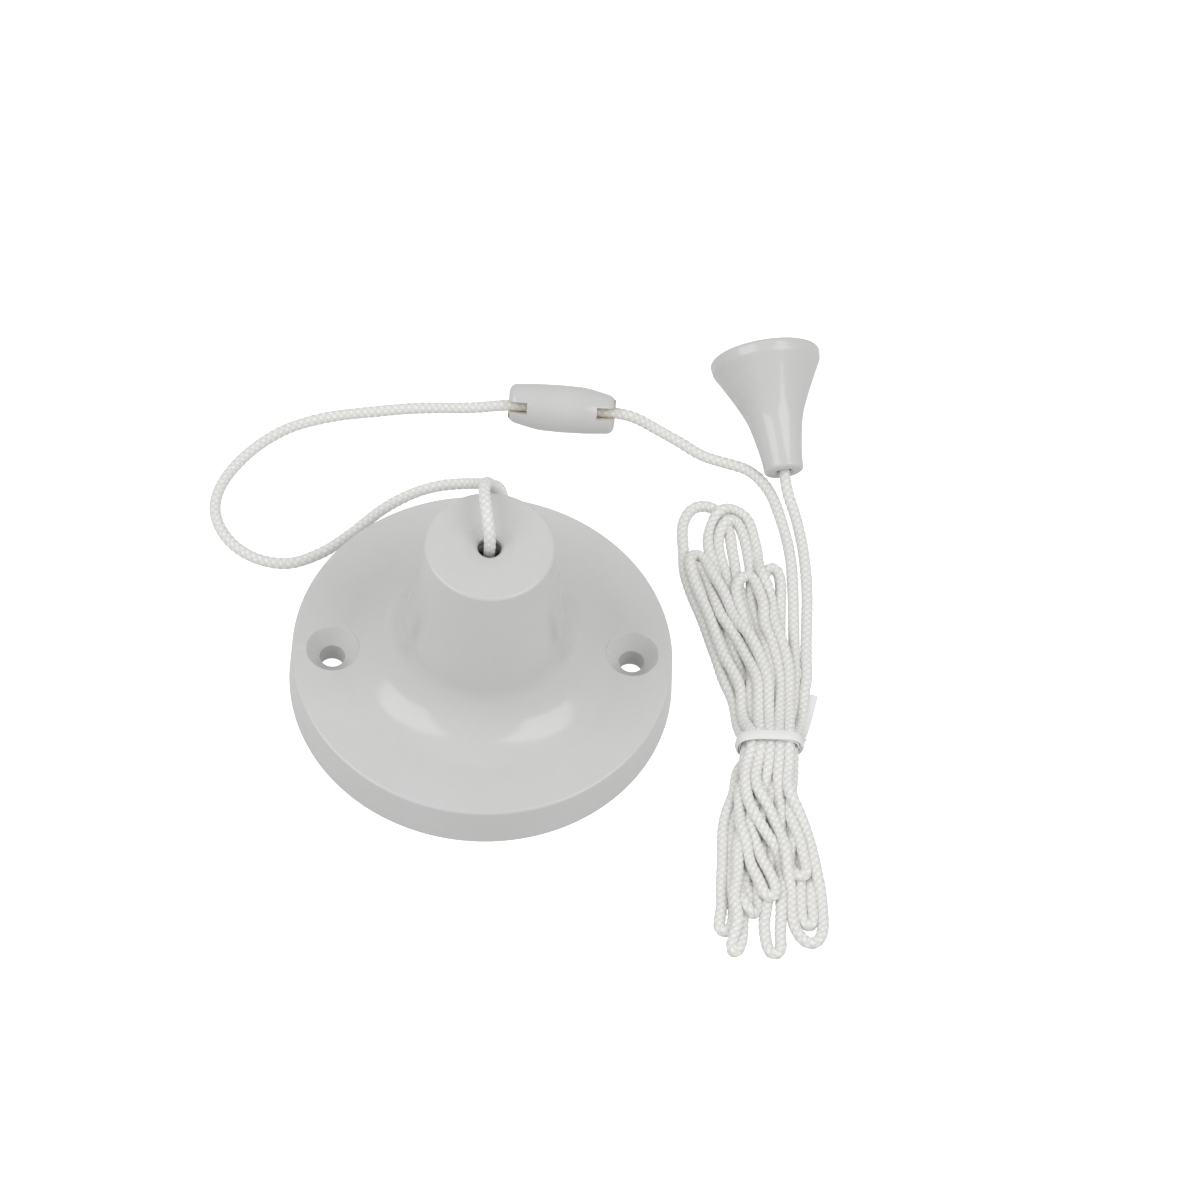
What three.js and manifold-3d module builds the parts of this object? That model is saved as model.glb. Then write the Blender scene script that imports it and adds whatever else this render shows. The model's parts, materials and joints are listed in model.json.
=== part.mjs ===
// Ceiling pull cord switch, lying on its ceiling face with the cord end up.
// Millimetres, +Z up. The origin is the centre of the ceiling face.
import * as THREE from "three";
import { mergeVertices } from "three/addons/utils/BufferGeometryUtils.js";
import Module from "manifold-3d";

const wasm = await Module();
wasm.setup();

// ---- driving dimensions ----
const rimRadius = 43;            // cover at the ceiling face
const flangeRadius = 42.4;       // cover at the top of its skirt
const flangeHeight = 11;
const coverHeight = 52.5;
const noseRadius = 14.1;         // flat end of the bell-shaped boss
const coneAngle = 7.3;           // draft of the boss, in degrees
const coveRadius = 13.6;
const coveOuterRadius = 31.4;    // where the cove meets the flat flange
const wall = 2.2;
const skirtWall = 2;
const cordHoleRadius = 2.6;
const dimpleRadius = 5.6;
const screwHoleX = 33.4;
const screwHoleRadius = 2.8;
const countersinkRadius = 5.85;
const cordRadius = 1.2;
const gap = 0.3;                 // clearance between neighbouring pieces

const plateThickness = 2.4;
const plateRadius = 40.3;
const plateHalfWidth = 25.5;
const pillarY = 34.5;            // cover pillars that take the base screws
const floorZ = plateThickness + gap;

const wheelZ = 14.5;             // cam wheel axis
const toothTipRadius = 7.2;
const toothRootRadius = 5.6;
const toothCount = 8;
const camApothem = 4;
const camCornerDepth = 5.2;
const axleRadius = 1.25;

const wallInnerY = 7.4;          // chassis side walls
const wallOuterY = 9;
const bridgeZ = 45.5;
const plungerBottom = 24;
const plungerTop = 31.7;
const neckTop = 43;
const neckRadius = 2.8;
const pawlPin = [8.5, 0, 27];
const leverPin = [-9.5, 0, 6];

const bellLength = 28.9;
const bellMouthRadius = 12.95;
const bellNeckRadius = 4.6;
const bellNeck = [70.1, 55.4, 4.4];      // centre of the bell's small end
const bellHeading = 9.2;                 // degrees from +Y towards -X
const bellTilt = 17;                     // degrees that the mouth end rises
const connectorCentre = [18.7, 71.5, 5.5];
const connectorHeading = -3.5;           // degrees from +X
const connectorLength = 24.8;
const connectorRadius = 5.5;
const slotRoll = 44;                     // degrees from +Z that the cord slots face

// ---- materials ----
const finish = (color, roughness, metalness = 0) => new THREE.MeshStandardMaterial({ color, roughness, metalness });
const whitePlastic = finish(0xe9e7e3, 0.25);
const naturalPlastic = finish(0xd9d5ca, 0.45);
const blackPlastic = finish(0x2b2b2c, 0.5);
const cordWhite = finish(0xeeede6, 0.85);
const brass = finish(0xc9a45a, 0.35, 1);
const zinc = finish(0xb9bcbd, 0.35, 1);
const springSteel = finish(0xa7abad, 0.3, 1);
const silver = finish(0xdcdcda, 0.25, 1);

// ---- solids ----
function solidFrom(geometry) {
  const bare = geometry.clone();
  bare.deleteAttribute("normal");
  bare.deleteAttribute("uv");
  const merged = mergeVertices(bare, 1e-4);
  const vertProperties = new Float32Array(merged.attributes.position.array);
  const triVerts = new Uint32Array(merged.index.array);
  return new wasm.Manifold(new wasm.Mesh({ numProp: 3, vertProperties, triVerts }));
}

function geometryFrom(solid) {
  const mesh = solid.getMesh();
  const geometry = new THREE.BufferGeometry();
  geometry.setAttribute("position", new THREE.BufferAttribute(mesh.vertProperties, 3));
  geometry.setIndex(new THREE.BufferAttribute(mesh.triVerts, 1));
  geometry.computeVertexNormals();
  return geometry;
}

const subtractAll = (solid, cuts) => cuts.reduce((rest, cut) => rest.subtract(cut), solid);
const addAll = (solids) => solids.reduce((sum, next) => sum.add(next));

// a box from its lowest to its highest corner
function block(low, high) {
  const size = low.map((v, i) => high[i] - v);
  const geometry = new THREE.BoxGeometry(...size);
  geometry.translate((low[0] + high[0]) / 2, (low[1] + high[1]) / 2, (low[2] + high[2]) / 2);
  return solidFrom(geometry);
}

// a cylinder or cone along +Z from z0 to z1
function post(x, y, z0, z1, r0, r1 = r0, sides = 20) {
  const geometry = new THREE.CylinderGeometry(r1, r0, z1 - z0, sides);
  geometry.rotateX(Math.PI / 2);
  geometry.translate(x, y, (z0 + z1) / 2);
  return solidFrom(geometry);
}

// a cylinder along +Y from y0 to y1
function bar(x, z, y0, y1, radius, sides = 20) {
  const geometry = new THREE.CylinderGeometry(radius, radius, y1 - y0, sides);
  geometry.translate(x, (y0 + y1) / 2, z);
  return solidFrom(geometry);
}

// a turned piece about +Z from [radius, height] pairs, which run anticlockwise around the section
function turned(profile, sides) {
  const geometry = new THREE.LatheGeometry(profile.map(([r, h]) => new THREE.Vector2(r, h)), sides);
  geometry.rotateX(Math.PI / 2);
  return geometry;
}

// a flat outline in X and Z, given a thickness from y0 to y1
function sideProfile(points, y0, y1) {
  const shape = new THREE.Shape(points.map(([x, z]) => new THREE.Vector2(x, z)));
  const geometry = new THREE.ExtrudeGeometry(shape, { depth: y1 - y0, bevelEnabled: false });
  geometry.rotateX(Math.PI / 2);
  geometry.translate(0, y1, 0);
  return solidFrom(geometry);
}

// a round rod that follows points set by hand; a full circle takes two points for each curve segment
function rod(points, radius, steps, sides = 8) {
  const curve = new THREE.CatmullRomCurve3(points.map((p) => new THREE.Vector3(...p)), false, "centripetal");
  const section = new THREE.Shape();
  section.absarc(0, 0, radius, 0, 2 * Math.PI, false);
  return new THREE.ExtrudeGeometry(section, {
    steps, extrudePath: curve, bevelEnabled: false, curveSegments: sides / 2,
  });
}

// points of an arc from angle a0 to a1 in degrees, ends included
function arc(cx, cy, radius, a0, a1, count) {
  return Array.from({ length: count + 1 }, (_, i) => {
    const a = THREE.MathUtils.degToRad(a0 + (a1 - a0) * i / count);
    return [cx + radius * Math.cos(a), cy + radius * Math.sin(a)];
  });
}

const model = new THREE.Group();
function place(name, shape, material, group = model) {
  const geometry = shape.isBufferGeometry ? shape : geometryFrom(shape);
  const mesh = new THREE.Mesh(geometry, material);
  mesh.name = name;
  group.add(mesh);
  return mesh;
}

// ---- cover: one bell-shaped moulding with a skirt, two countersunk holes and two pillars ----
function coverSolid() {
  const rimRound = 0.7;
  const noseRound = 0.8;
  const coveZ = flangeHeight + coveRadius;
  const innerNose = noseRadius - wall;
  const innerTop = coverHeight - wall;
  const underFlange = flangeHeight - wall;
  const innerSkirt = rimRadius - skirtWall;
  const profile = [
    [cordHoleRadius, innerTop],
    [innerNose, innerTop],
    ...arc(coveOuterRadius, coveZ, coveRadius + wall, 180 + coneAngle, 270, 6),
    [innerSkirt - 0.6, underFlange],
    [innerSkirt, 0],
    [rimRadius, 0],
    ...arc(flangeRadius - rimRound, flangeHeight - rimRound, rimRound, 0, 90, 2),
    ...arc(coveOuterRadius, coveZ, coveRadius, 270, 180 + coneAngle, 8),
    ...arc(noseRadius - noseRound, coverHeight - noseRound, noseRound, 0, 90, 2),
    [dimpleRadius, coverHeight],
    [cordHoleRadius + 0.5, coverHeight - 0.5],
    [cordHoleRadius, coverHeight - 0.9],
    [cordHoleRadius, innerTop],
  ];
  const shell = solidFrom(turned(profile, 48));
  const bossTop = underFlange + 0.5;
  const countersinkDepth = countersinkRadius - screwHoleRadius;
  const bosses = [-1, 1].map((side) => post(side * screwHoleX, 0, floorZ, bossTop, 5.9, 6.6));
  const pillars = [-1, 1].map((side) => post(0, side * pillarY, floorZ, bossTop, 3.2));
  const cuts = [];
  for (const side of [-1, 1]) {
    const x = side * screwHoleX;
    cuts.push(post(x, 0, -1, coverHeight, screwHoleRadius, screwHoleRadius, 20));
    cuts.push(post(x, 0, flangeHeight - countersinkDepth, flangeHeight + 1,
      screwHoleRadius, countersinkRadius + 1, 28));
    cuts.push(post(0, side * pillarY, -1, flangeHeight - 2, 1.5));
  }
  return subtractAll(addAll([shell, ...bosses, ...pillars]), cuts);
}
place("cover", coverSolid(), whitePlastic);

// ---- base plate: a disc cut flat on both sides, so that the fixing screws pass beside it ----
const cableEntry = { x: 8, y0: -29, y1: -17 };
const chassisPillars = [[-9, 11.4], [9, -11.4]];
function basePlateSolid() {
  const disc = post(0, 0, 0, plateThickness, plateRadius, plateRadius, 56);
  const strip = block([-plateHalfWidth, -plateRadius - 1, -1], [plateHalfWidth, plateRadius + 1, plateThickness + 1]);
  const cuts = [block([-cableEntry.x, cableEntry.y0, -1], [cableEntry.x, cableEntry.y1, plateThickness + 1])];
  const fixings = [[0, pillarY], [0, -pillarY], ...chassisPillars];
  for (const [x, y] of fixings) {
    cuts.push(post(x, y, -1, plateThickness + 1, 1.5));
    cuts.push(post(x, y, -1, 1.2, 2.8));
  }
  return subtractAll(disc.intersect(strip), cuts);
}
place("base_plate", basePlateSolid(), naturalPlastic);

// ---- screws: pan heads with a slot, on +Z or turned over ----
function screwSolid(x, y, headZ, direction, headRadius, headHeight, shankRadius, length) {
  const headEnd = headZ + direction * headHeight;
  const tip = headZ - direction * length;
  const zs = (a, b) => [Math.min(a, b), Math.max(a, b)];
  const head = post(x, y, ...zs(headZ, headEnd), headRadius, headRadius, 18);
  const shank = post(x, y, ...zs(headZ + direction * headHeight / 2, tip), shankRadius, shankRadius, 12);
  const slotDepth = headHeight / 2;
  const slot = zs(headEnd - direction * slotDepth, headEnd + direction);
  const cut = block([x - headRadius - 1, y - 0.3, slot[0]], [x + headRadius + 1, y + 0.3, slot[1]]);
  return head.add(shank).subtract(cut);
}
const recessZ = 1.1;
[[0, pillarY], [0, -pillarY]].forEach(([x, y], i) => {
  place(`base_screw_${i + 1}`, screwSolid(x, y, recessZ, -1, 2.5, 0.9, 1.2, 7), zinc);
});
chassisPillars.forEach(([x, y], i) => {
  place(`chassis_screw_${i + 1}`, screwSolid(x, y, recessZ, -1, 2.5, 0.9, 1.2, 9), zinc);
});

// ---- chassis: two side walls joined by a bridge that guides the plunger's neck ----
function chassisSolid() {
  const parts = [];
  for (const side of [-1, 1]) {
    const [y0, y1] = [side * wallInnerY, side * wallOuterY].sort((a, b) => a - b);
    parts.push(sideProfile([[-11, floorZ], [11, floorZ], [11, 22], [7, 26], [7, bridgeZ + 2], [-7, bridgeZ + 2],
      [-7, 26], [-11, 22]], y0, y1));
  }
  parts.push(block([-7, -wallOuterY, bridgeZ], [7, wallOuterY, bridgeZ + 2]));
  for (const [x, y] of chassisPillars) {
    parts.push(post(x, y, floorZ, 12, 2.8));
  }
  const cuts = [
    post(0, 0, bridgeZ - 1, bridgeZ + 3, neckRadius + 0.5, neckRadius + 0.5, 24),
    bar(0, wheelZ, -wallOuterY - 1, wallOuterY + 1, axleRadius + gap),
    bar(leverPin[0], leverPin[2], 0, wallOuterY + 1, 1.1),
    ...chassisPillars.map(([x, y]) => post(x, y, 0, 11, 1.5)),
  ];
  return subtractAll(addAll(parts), cuts);
}
place("chassis", chassisSolid(), naturalPlastic);
place("cam_axle", bar(0, wheelZ, -wallOuterY, wallOuterY, axleRadius), springSteel);
place("contact_pin", bar(leverPin[0], leverPin[2], 2.4, wallOuterY - 0.2, 0.8), springSteel);

// ---- cam wheel: eight ratchet teeth and a four-sided cam in one moulding ----
function camWheelSolid() {
  const pitch = 360 / toothCount;
  const teeth = [];
  for (let k = 0; k < toothCount; k += 1) {
    const face = THREE.MathUtils.degToRad(-pitch / 2 + k * pitch);
    for (let s = 0; s <= 3; s += 1) {
      const radius = THREE.MathUtils.lerp(toothTipRadius, toothRootRadius, s / 3);
      const a = face + THREE.MathUtils.degToRad(pitch * s / 3);
      teeth.push([radius * Math.cos(a), wheelZ + radius * Math.sin(a)]);
    }
  }
  const corner = camCornerDepth * Math.SQRT2 - camApothem;
  const square = [[camApothem, -corner], [camApothem, corner], [corner, camApothem], [-corner, camApothem],
    [-camApothem, corner], [-camApothem, -corner], [-corner, -camApothem], [corner, -camApothem]];
  const turn = Math.SQRT1_2;
  const cam = square.map(([x, z]) => [turn * (x - z), wheelZ + turn * (x + z)]);
  const solids = [
    sideProfile(teeth, -3, 0.8),
    sideProfile(cam, 0.6, 6),
    bar(0, wheelZ, -6.9, 6.9, 2.6),
  ];
  return addAll(solids).subtract(bar(0, wheelZ, -8, 8, axleRadius + gap));
}
place("cam_wheel", camWheelSolid(), blackPlastic);

// ---- detent leaf that clicks over the teeth ----
place("detent_spring", addAll([
  block([-8.4, -3, floorZ], [-8, 0.8, 21]),
  block([-8.2, -3, floorZ], [-3, 0.8, floorZ + 0.4]),
]), springSteel);

// ---- plunger: slides up as the cord is pulled, carries the pawl ----
function plungerSolid() {
  const lug = pawlPin[0] + 2.1;
  const parts = [
    block([-4, -6.8, plungerBottom], [4.2, 6.8, plungerTop]),
    post(0, 0, plungerTop - 0.5, neckTop, neckRadius, neckRadius, 24),
    block([4, -3.2, plungerBottom + 0.5], [lug, -1.8, plungerTop - 1.7]),
    block([4, 1.8, plungerBottom + 0.5], [lug, 3.2, plungerTop - 1.7]),
  ];
  const cuts = [
    post(0, 0, plungerBottom - 1, plungerTop - 1.2, 3.2),
    post(0, 0, plungerBottom, neckTop + 1, cordRadius + gap, cordRadius + gap, 16),
    bar(pawlPin[0], pawlPin[2], -4, 4, 1.1),
  ];
  return subtractAll(addAll(parts), cuts);
}
place("plunger", plungerSolid(), blackPlastic);
place("pawl_pin", bar(pawlPin[0], pawlPin[2], -3.2, 5.6, 0.8), springSteel);

// ---- pawl: hangs from the pin with its hook under a tooth ----
function pawlSolid() {
  const hookTop = wheelZ - 4.8;
  const outline = [[6.2, hookTop - 1.3], [9.3, hookTop - 1.3], [9.3, 28.3], [7.7, 28.3], [7.7, hookTop],
    [6.2, hookTop]];
  const boss = bar(pawlPin[0], pawlPin[2], -1.5, 1.5, 1.9);
  return sideProfile(outline, -1.5, 1.5).add(boss).subtract(bar(pawlPin[0], pawlPin[2], -2, 2, 1.1));
}
place("pawl", pawlSolid(), blackPlastic);

// ---- wire coils: a helix about +Z or +Y ----
function coil(centre, radius, wire, turns, length, alongY = false, stepsPerTurn = 10) {
  const steps = Math.round(turns * stepsPerTurn);
  const points = Array.from({ length: steps + 1 }, (_, i) => {
    const a = 2 * Math.PI * turns * i / steps;
    const [u, v, w] = [radius * Math.cos(a), radius * Math.sin(a), length * i / steps];
    return alongY ? [centre[0] + u, centre[1] + w, centre[2] + v] : [centre[0] + u, centre[1] + v, centre[2] + w];
  });
  return rod(points, wire, steps, 6);
}
place("return_spring", coil([0, 0, plungerTop + 0.7], 4.1, 0.35, 6, bridgeZ - plungerTop - 1.4), springSteel);
place("pawl_spring", coil([pawlPin[0], 3.75, pawlPin[2]], 1.45, 0.25, 2.5, 1.5, true), springSteel);

// ---- moving contact: a lever that the cam lets rise and fall ----
function leverSolid() {
  const outline = [[leverPin[0] - 1.8, 5.2], [14.2, 5.2], [14.2, 6.8], [0.8, 6.8], [0.8, 8.8], [-0.8, 8.8],
    [-0.8, 6.8], [-8, 6.8], [-8.6, 7.9], [-10.4, 7.9], [leverPin[0] - 1.8, 6.8]];
  const cuts = [bar(leverPin[0], leverPin[2], 2, 7, 1.1, 16), post(12.8, 4.3, 4, 8, 0.95, 0.95, 16)];
  return subtractAll(sideProfile(outline, 3, 5.6), cuts);
}
place("contact_lever", leverSolid(), brass);
place("lever_contact", addAll([
  post(12.8, 4.3, 4.7, 7.3, 0.65, 0.65, 16),
  post(12.8, 4.3, 4.5, 4.9, 1.25, 1.25, 16),
  post(12.8, 4.3, 7.1, 7.5, 1.25, 1.25, 16),
]), silver);
place("contact_spring", coil([5, 4.3, floorZ + 0.25], 1.2, 0.2, 2.5, 1.7), springSteel);

// ---- fixed contacts: strips from the terminal blocks to the lever ----
const blockY = 21.5;
const blockTop = 7.4;
const stripThickness = 0.8;
place("contact_l1", addAll([
  block([11.6, 2.8, 11.2], [14.2, 14.2, 11.2 + stripThickness]),
  block([11.6, 13.4, 4.4], [14.2, 14.2, 11.4]),
  block([11.6, 13.4, 4.4], [14.2, 17.2, 4.4 + stripThickness]),
  post(12.8, 4.3, 10.8, 11.4, 1.25, 1.25, 16),
]), brass);
place("contact_l2", addAll([
  block([11.6, 2.8, floorZ], [14.2, 13.6, floorZ + stripThickness]),
  block([-1.5, 11.8, floorZ], [14.2, 13.6, floorZ + stripThickness]),
  block([-1.5, 11.8, floorZ], [1.5, 17.2, floorZ + stripThickness]),
  post(12.8, 4.3, floorZ + 0.2, 4.15, 1.25, 1.25, 16),
]), brass);
place("contact_common", addAll([
  block([-15.5, 2.8, floorZ], [-12.4, 17.2, floorZ + stripThickness]),
  block([-12.6, 2.8, floorZ], [-11.7, 6, 8]),
]), brass);

// ---- terminals: brass blocks with a wire bore and a clamping screw ----
const terminals = { common: [-14, blockY], l2: [0, blockY], l1: [14, blockY], loop: [17, -21] };
for (const [name, [x, y]] of Object.entries(terminals)) {
  const body = block([x - 3.2, y - 4, floorZ], [x + 3.2, y + 4, blockTop]);
  const cuts = [bar(x, 5, y - 5, y + 5, 1.6, 18), post(x, y, 5, blockTop + 1, 1.5, 1.5, 16)];
  place(`terminal_${name}`, subtractAll(body, cuts), brass);
  place(`terminal_screw_${name}`, screwSolid(x, y, blockTop + gap, 1, 1.9, 0.9, 1.15, 3.2), zinc);
}

// ---- upper cord: from the knot in the plunger, over the boss and round to the connector ----
const upperRoute = [
  [0, 0, 30.8], [0, 0, 37], [0, 0, 44], [0, 0, 50], [0, -0.1, 53], [-0.2, 0.8, 55.7],
  [-0.6, 3, 57.6], [-1, 6.1, 58.2], [-1.3, 9.7, 57.7], [-1.2, 13.2, 56.2], [-0.5, 16.1, 53.2],
  [1, 17.9, 49], [2.6, 19.2, 44], [3.9, 20.6, 38], [4.9, 22.4, 31.4], [5.4, 25.2, 25], [5.5, 29.4, 19.4],
  [5.3, 34.4, 15.4], [4.8, 39.4, 13.4], [4, 43.4, 12.2], [2.9, 46.8, 9], [1, 50, 5], [-2.6, 52.1, 2.1],
  [-7.5, 52.2, 1.25], [-14.2, 50.2, 1.25], [-22, 45.3, 1.25], [-29.7, 37.8, 1.25], [-36.4, 32.4, 1.25],
  [-44.1, 29.3, 1.25], [-51.9, 30.9, 1.25], [-57.9, 36, 1.25], [-60.8, 43.2, 1.25], [-59.8, 50.2, 1.25],
  [-54.6, 58.8, 1.25], [-45.9, 66.5, 1.25], [-36.2, 70.5, 1.25], [-25.3, 72.5, 1.25], [-12.4, 74, 1.25],
  [-2, 73.4, 2.6], [6, 72.4, 5.2],
];
place("upper_cord", rod(upperRoute, cordRadius, 76), cordWhite);

function knotGeometry(radius, height) {
  const bulge = arc(0, 0, 1, -90, 90, 6).map(([r, h]) => [Math.max(r, 0) * radius, h * height / 2]);
  bulge[0][0] = 0;
  bulge[bulge.length - 1][0] = 0;
  return turned(bulge, 12);
}
const cordKnot = place("cord_knot", knotGeometry(2.7, 5), cordWhite);
cordKnot.position.set(0, 0, 27.9);

// ---- connector: two barrel halves, each slotted at its end, with a knot inside ----
const connector = new THREE.Group();
connector.position.set(...connectorCentre);
connector.rotation.set(0, 0, THREE.MathUtils.degToRad(connectorHeading));
model.add(connector);
function connectorHalf() {
  const half = connectorLength / 2;
  const bore = 3.3;
  const profile = [
    [bore, 0.15],
    [connectorRadius, 0.15],
    [connectorRadius - 0.05, half * 0.4],
    [connectorRadius - 0.45, half * 0.7],
    [connectorRadius - 1, half - 1.6],
    ...arc(connectorRadius - 2.7, half - 1.5, 1.5, 0, 90, 4),
    [0, half],
    [0, half - 4.6],
    [bore, half - 5],
    [bore, 0.15],
  ];
  const shell = solidFrom(turned(profile, 24));
  const slot = block([-1.4, -1.35, half - 4.3], [connectorRadius + 1, 1.35, half + 1]);
  const throat = post(0, 0, half - 6, half - 3, 1.5, 1.5, 12);
  return geometryFrom(subtractAll(shell, [slot, throat]));
}
// the half's own axis is +Z and its slot faces +X, which becomes the up and forward side
["left", "right"].forEach((side, i) => {
  const roll = new THREE.Group();
  roll.rotation.x = THREE.MathUtils.degToRad(slotRoll);
  connector.add(roll);
  const half = place(`connector_${side}`, connectorHalf(), whitePlastic, roll);
  half.rotation.set(i * Math.PI, (i - 0.5) * Math.PI, 0);
  const knot = place(`connector_knot_${side}`, knotGeometry(2.6, 4.6), cordWhite, roll);
  knot.rotation.set(0, Math.PI / 2, 0);
  knot.position.set((i === 0 ? -1 : 1) * 4, 0, 0);
});

// ---- lower cord: lead, hank, its tie and the tail that ends in the bell pull ----
const leadRoute = [
  [31.4, 70.8, 5.2], [35.6, 70.4, 4.2], [40.4, 69.2, 1.9], [45.4, 66.3, 1.25], [51.6, 61.9, 1.25],
  [57.4, 59.8, 1.25], [62, 58, 1.25], [66.3, 53, 1.25], [69.2, 44, 1.25], [70.9, 34, 1.25], [71.2, 26, 1.25],
  [71, 15, 1.25], [70.8, 6, 1.25], [70.8, 0.4, 1.25],
];
place("lower_cord_lead", rod(leadRoute, cordRadius, 34), cordWhite);

const hankBase = 1;
const hankHeight = 7.4;
const tieY = -19;
function hankGeometry() {
  const outline = new THREE.Shape();
  outline.moveTo(69.3, -0.3);
  outline.lineTo(69.3, 20);
  outline.bezierCurveTo(69.3, 34, 64, 47, 54, 47);
  outline.bezierCurveTo(43, 47, 43.5, 34, 46, 22);
  outline.bezierCurveTo(49, 6, 52.5, -8, 58.2, tieY + 2);
  outline.lineTo(58.2, tieY - 2);
  outline.bezierCurveTo(54.5, -34, 50, -48, 49.6, -62);
  outline.bezierCurveTo(49.8, -72, 56, -75, 62, -75);
  outline.bezierCurveTo(70, -75, 76.4, -70, 76, -64);
  outline.bezierCurveTo(75.5, -50, 70.5, -36, 69.8, tieY - 2);
  outline.lineTo(69.8, tieY + 2);
  outline.lineTo(74.6, -0.3);
  return new THREE.ExtrudeGeometry(outline, { depth: hankHeight, bevelEnabled: false, curveSegments: 8 })
    .translate(0, 0, hankBase);
}
place("hank", hankGeometry(), cordWhite);

function hankTieSolid() {
  const [x0, x1] = [58.2 - gap, 69.8 + gap];
  const band = 0.6;
  const half = 0.95;
  const [z0, z1] = [hankBase - gap, hankBase + hankHeight + gap];
  const outer = block([x0 - band, tieY - half, z0 - band], [x1 + band, tieY + half, z1 + band]);
  return outer.subtract(block([x0, tieY - half - 1, z0], [x1, tieY + half + 1, z1]));
}
place("hank_tie", hankTieSolid(), whitePlastic);

// bell pull: a turned trumpet lying on its rim and its neck
const heading = THREE.MathUtils.degToRad(bellHeading);
const tilt = THREE.MathUtils.degToRad(bellTilt);
const bellAxis = new THREE.Vector3(-Math.sin(heading) * Math.cos(tilt), Math.cos(heading) * Math.cos(tilt),
  Math.sin(tilt));
const bell = new THREE.Group();
bell.position.set(...bellNeck);
bell.quaternion.setFromUnitVectors(new THREE.Vector3(0, 0, 1), bellAxis);
model.add(bell);
function bellGeometry() {
  const bore = 1.7;
  const thin = 1.5;
  const lip = bellLength - 1.5;
  const flare = [[bellNeckRadius, 0.5], [4.75, 3], [5.4, 7.7], [6.55, 13.1], [8.5, 17.9], [11.2, 23.4],
    [bellMouthRadius, lip]];
  const inside = flare.slice(2).map(([r, h]) => [r - thin - 0.3, h + 0.4]).reverse();
  const profile = [
    [bore, 0], [bellNeckRadius - 0.5, 0], ...flare,
    [bellMouthRadius, bellLength - 0.4], [bellMouthRadius - 0.4, bellLength], [bellMouthRadius - thin, bellLength],
    ...inside, [bore, 7.2], [bore, 0],
  ];
  return turned(profile, 32);
}
place("bell_pull", bellGeometry(), whitePlastic, bell);
const bellKnot = place("bell_knot", knotGeometry(2.5, 4.4), cordWhite, bell);
bellKnot.position.set(0, 0, 10.8);

// the tail leaves the bell along its axis and comes down to the surface
const tailInside = bellAxis.clone().multiplyScalar(8).add(bell.position);
const tailOut = bellAxis.clone().multiplyScalar(-5).add(bell.position);
const tailRoute = [
  tailInside.toArray(), bellNeck, tailOut.toArray(), [72.4, 45.6, 1.7], [73.6, 39, 1.25], [74.3, 31, 1.25],
  [74.4, 23, 1.25], [73.9, 14, 1.25], [73.5, 6, 1.25], [73.4, 0.4, 1.25],
];
place("lower_cord_tail", rod(tailRoute, cordRadius, 24), cordWhite);

export default model;
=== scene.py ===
import json
import math
import bmesh
import bpy
import numpy as np
from mathutils import Matrix, Vector


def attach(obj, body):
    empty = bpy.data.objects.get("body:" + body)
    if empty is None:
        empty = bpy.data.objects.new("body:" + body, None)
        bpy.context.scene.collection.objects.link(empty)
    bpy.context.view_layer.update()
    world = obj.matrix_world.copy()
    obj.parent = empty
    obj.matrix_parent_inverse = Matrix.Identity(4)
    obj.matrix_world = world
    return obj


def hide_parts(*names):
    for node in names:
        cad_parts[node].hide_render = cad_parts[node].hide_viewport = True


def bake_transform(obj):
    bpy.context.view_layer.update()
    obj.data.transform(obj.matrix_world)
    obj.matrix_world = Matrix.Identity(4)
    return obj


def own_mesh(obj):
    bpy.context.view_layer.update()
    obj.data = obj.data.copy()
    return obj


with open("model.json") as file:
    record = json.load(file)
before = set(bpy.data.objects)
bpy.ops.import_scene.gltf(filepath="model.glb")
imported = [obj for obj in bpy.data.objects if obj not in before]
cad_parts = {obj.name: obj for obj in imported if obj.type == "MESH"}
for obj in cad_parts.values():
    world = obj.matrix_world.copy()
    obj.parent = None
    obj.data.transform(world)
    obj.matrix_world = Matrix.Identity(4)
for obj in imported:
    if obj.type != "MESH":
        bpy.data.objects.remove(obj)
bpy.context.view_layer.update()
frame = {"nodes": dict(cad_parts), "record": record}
record = frame["record"]
bodyOfNode = {node: body for body, nodes in record["behaviour"]["bodies"].items() for node in nodes}
slotOfNode = {part["node"]: part["material_slot"] for part in record["subparts"]}
mm = 0.001
print("frame loaded,", len(frame["nodes"]), "nodes")


def addObject(name, data):
    made = bpy.data.objects.new(name, data)
    bpy.context.scene.collection.objects.link(made)
    return made


# camera
cameraView = {
    "lens": 146.3, "distance": 1.0933, "elevation": 55.717, "azimuth": 5.481, "roll": 5.651,
    "target": (0.02502, 0.024386, 0),
}


def makeCamera(view):
    elevation, azimuth, roll = (math.radians(view[key]) for key in ("elevation", "azimuth", "roll"))
    forward = Vector((math.sin(azimuth) * math.cos(elevation), math.cos(azimuth) * math.cos(elevation),
                      -math.sin(elevation)))
    level = Vector((math.cos(azimuth), -math.sin(azimuth), 0))
    upright = level.cross(forward)
    right = level * math.cos(roll) + upright * math.sin(roll)
    up = upright * math.cos(roll) - level * math.sin(roll)
    data = bpy.data.cameras.new("camera")
    data.lens = view["lens"]
    data.sensor_width = 36
    data.clip_start = 0.01
    camera = addObject("camera", data)
    camera.matrix_world = Matrix.Translation(Vector(view["target"]) - forward * view["distance"]) @ Matrix(
        (right, up, -forward)).transposed().to_4x4()
    bpy.context.scene.camera = camera


makeCamera(cameraView)
print("camera placed")

# shader node groups


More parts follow.
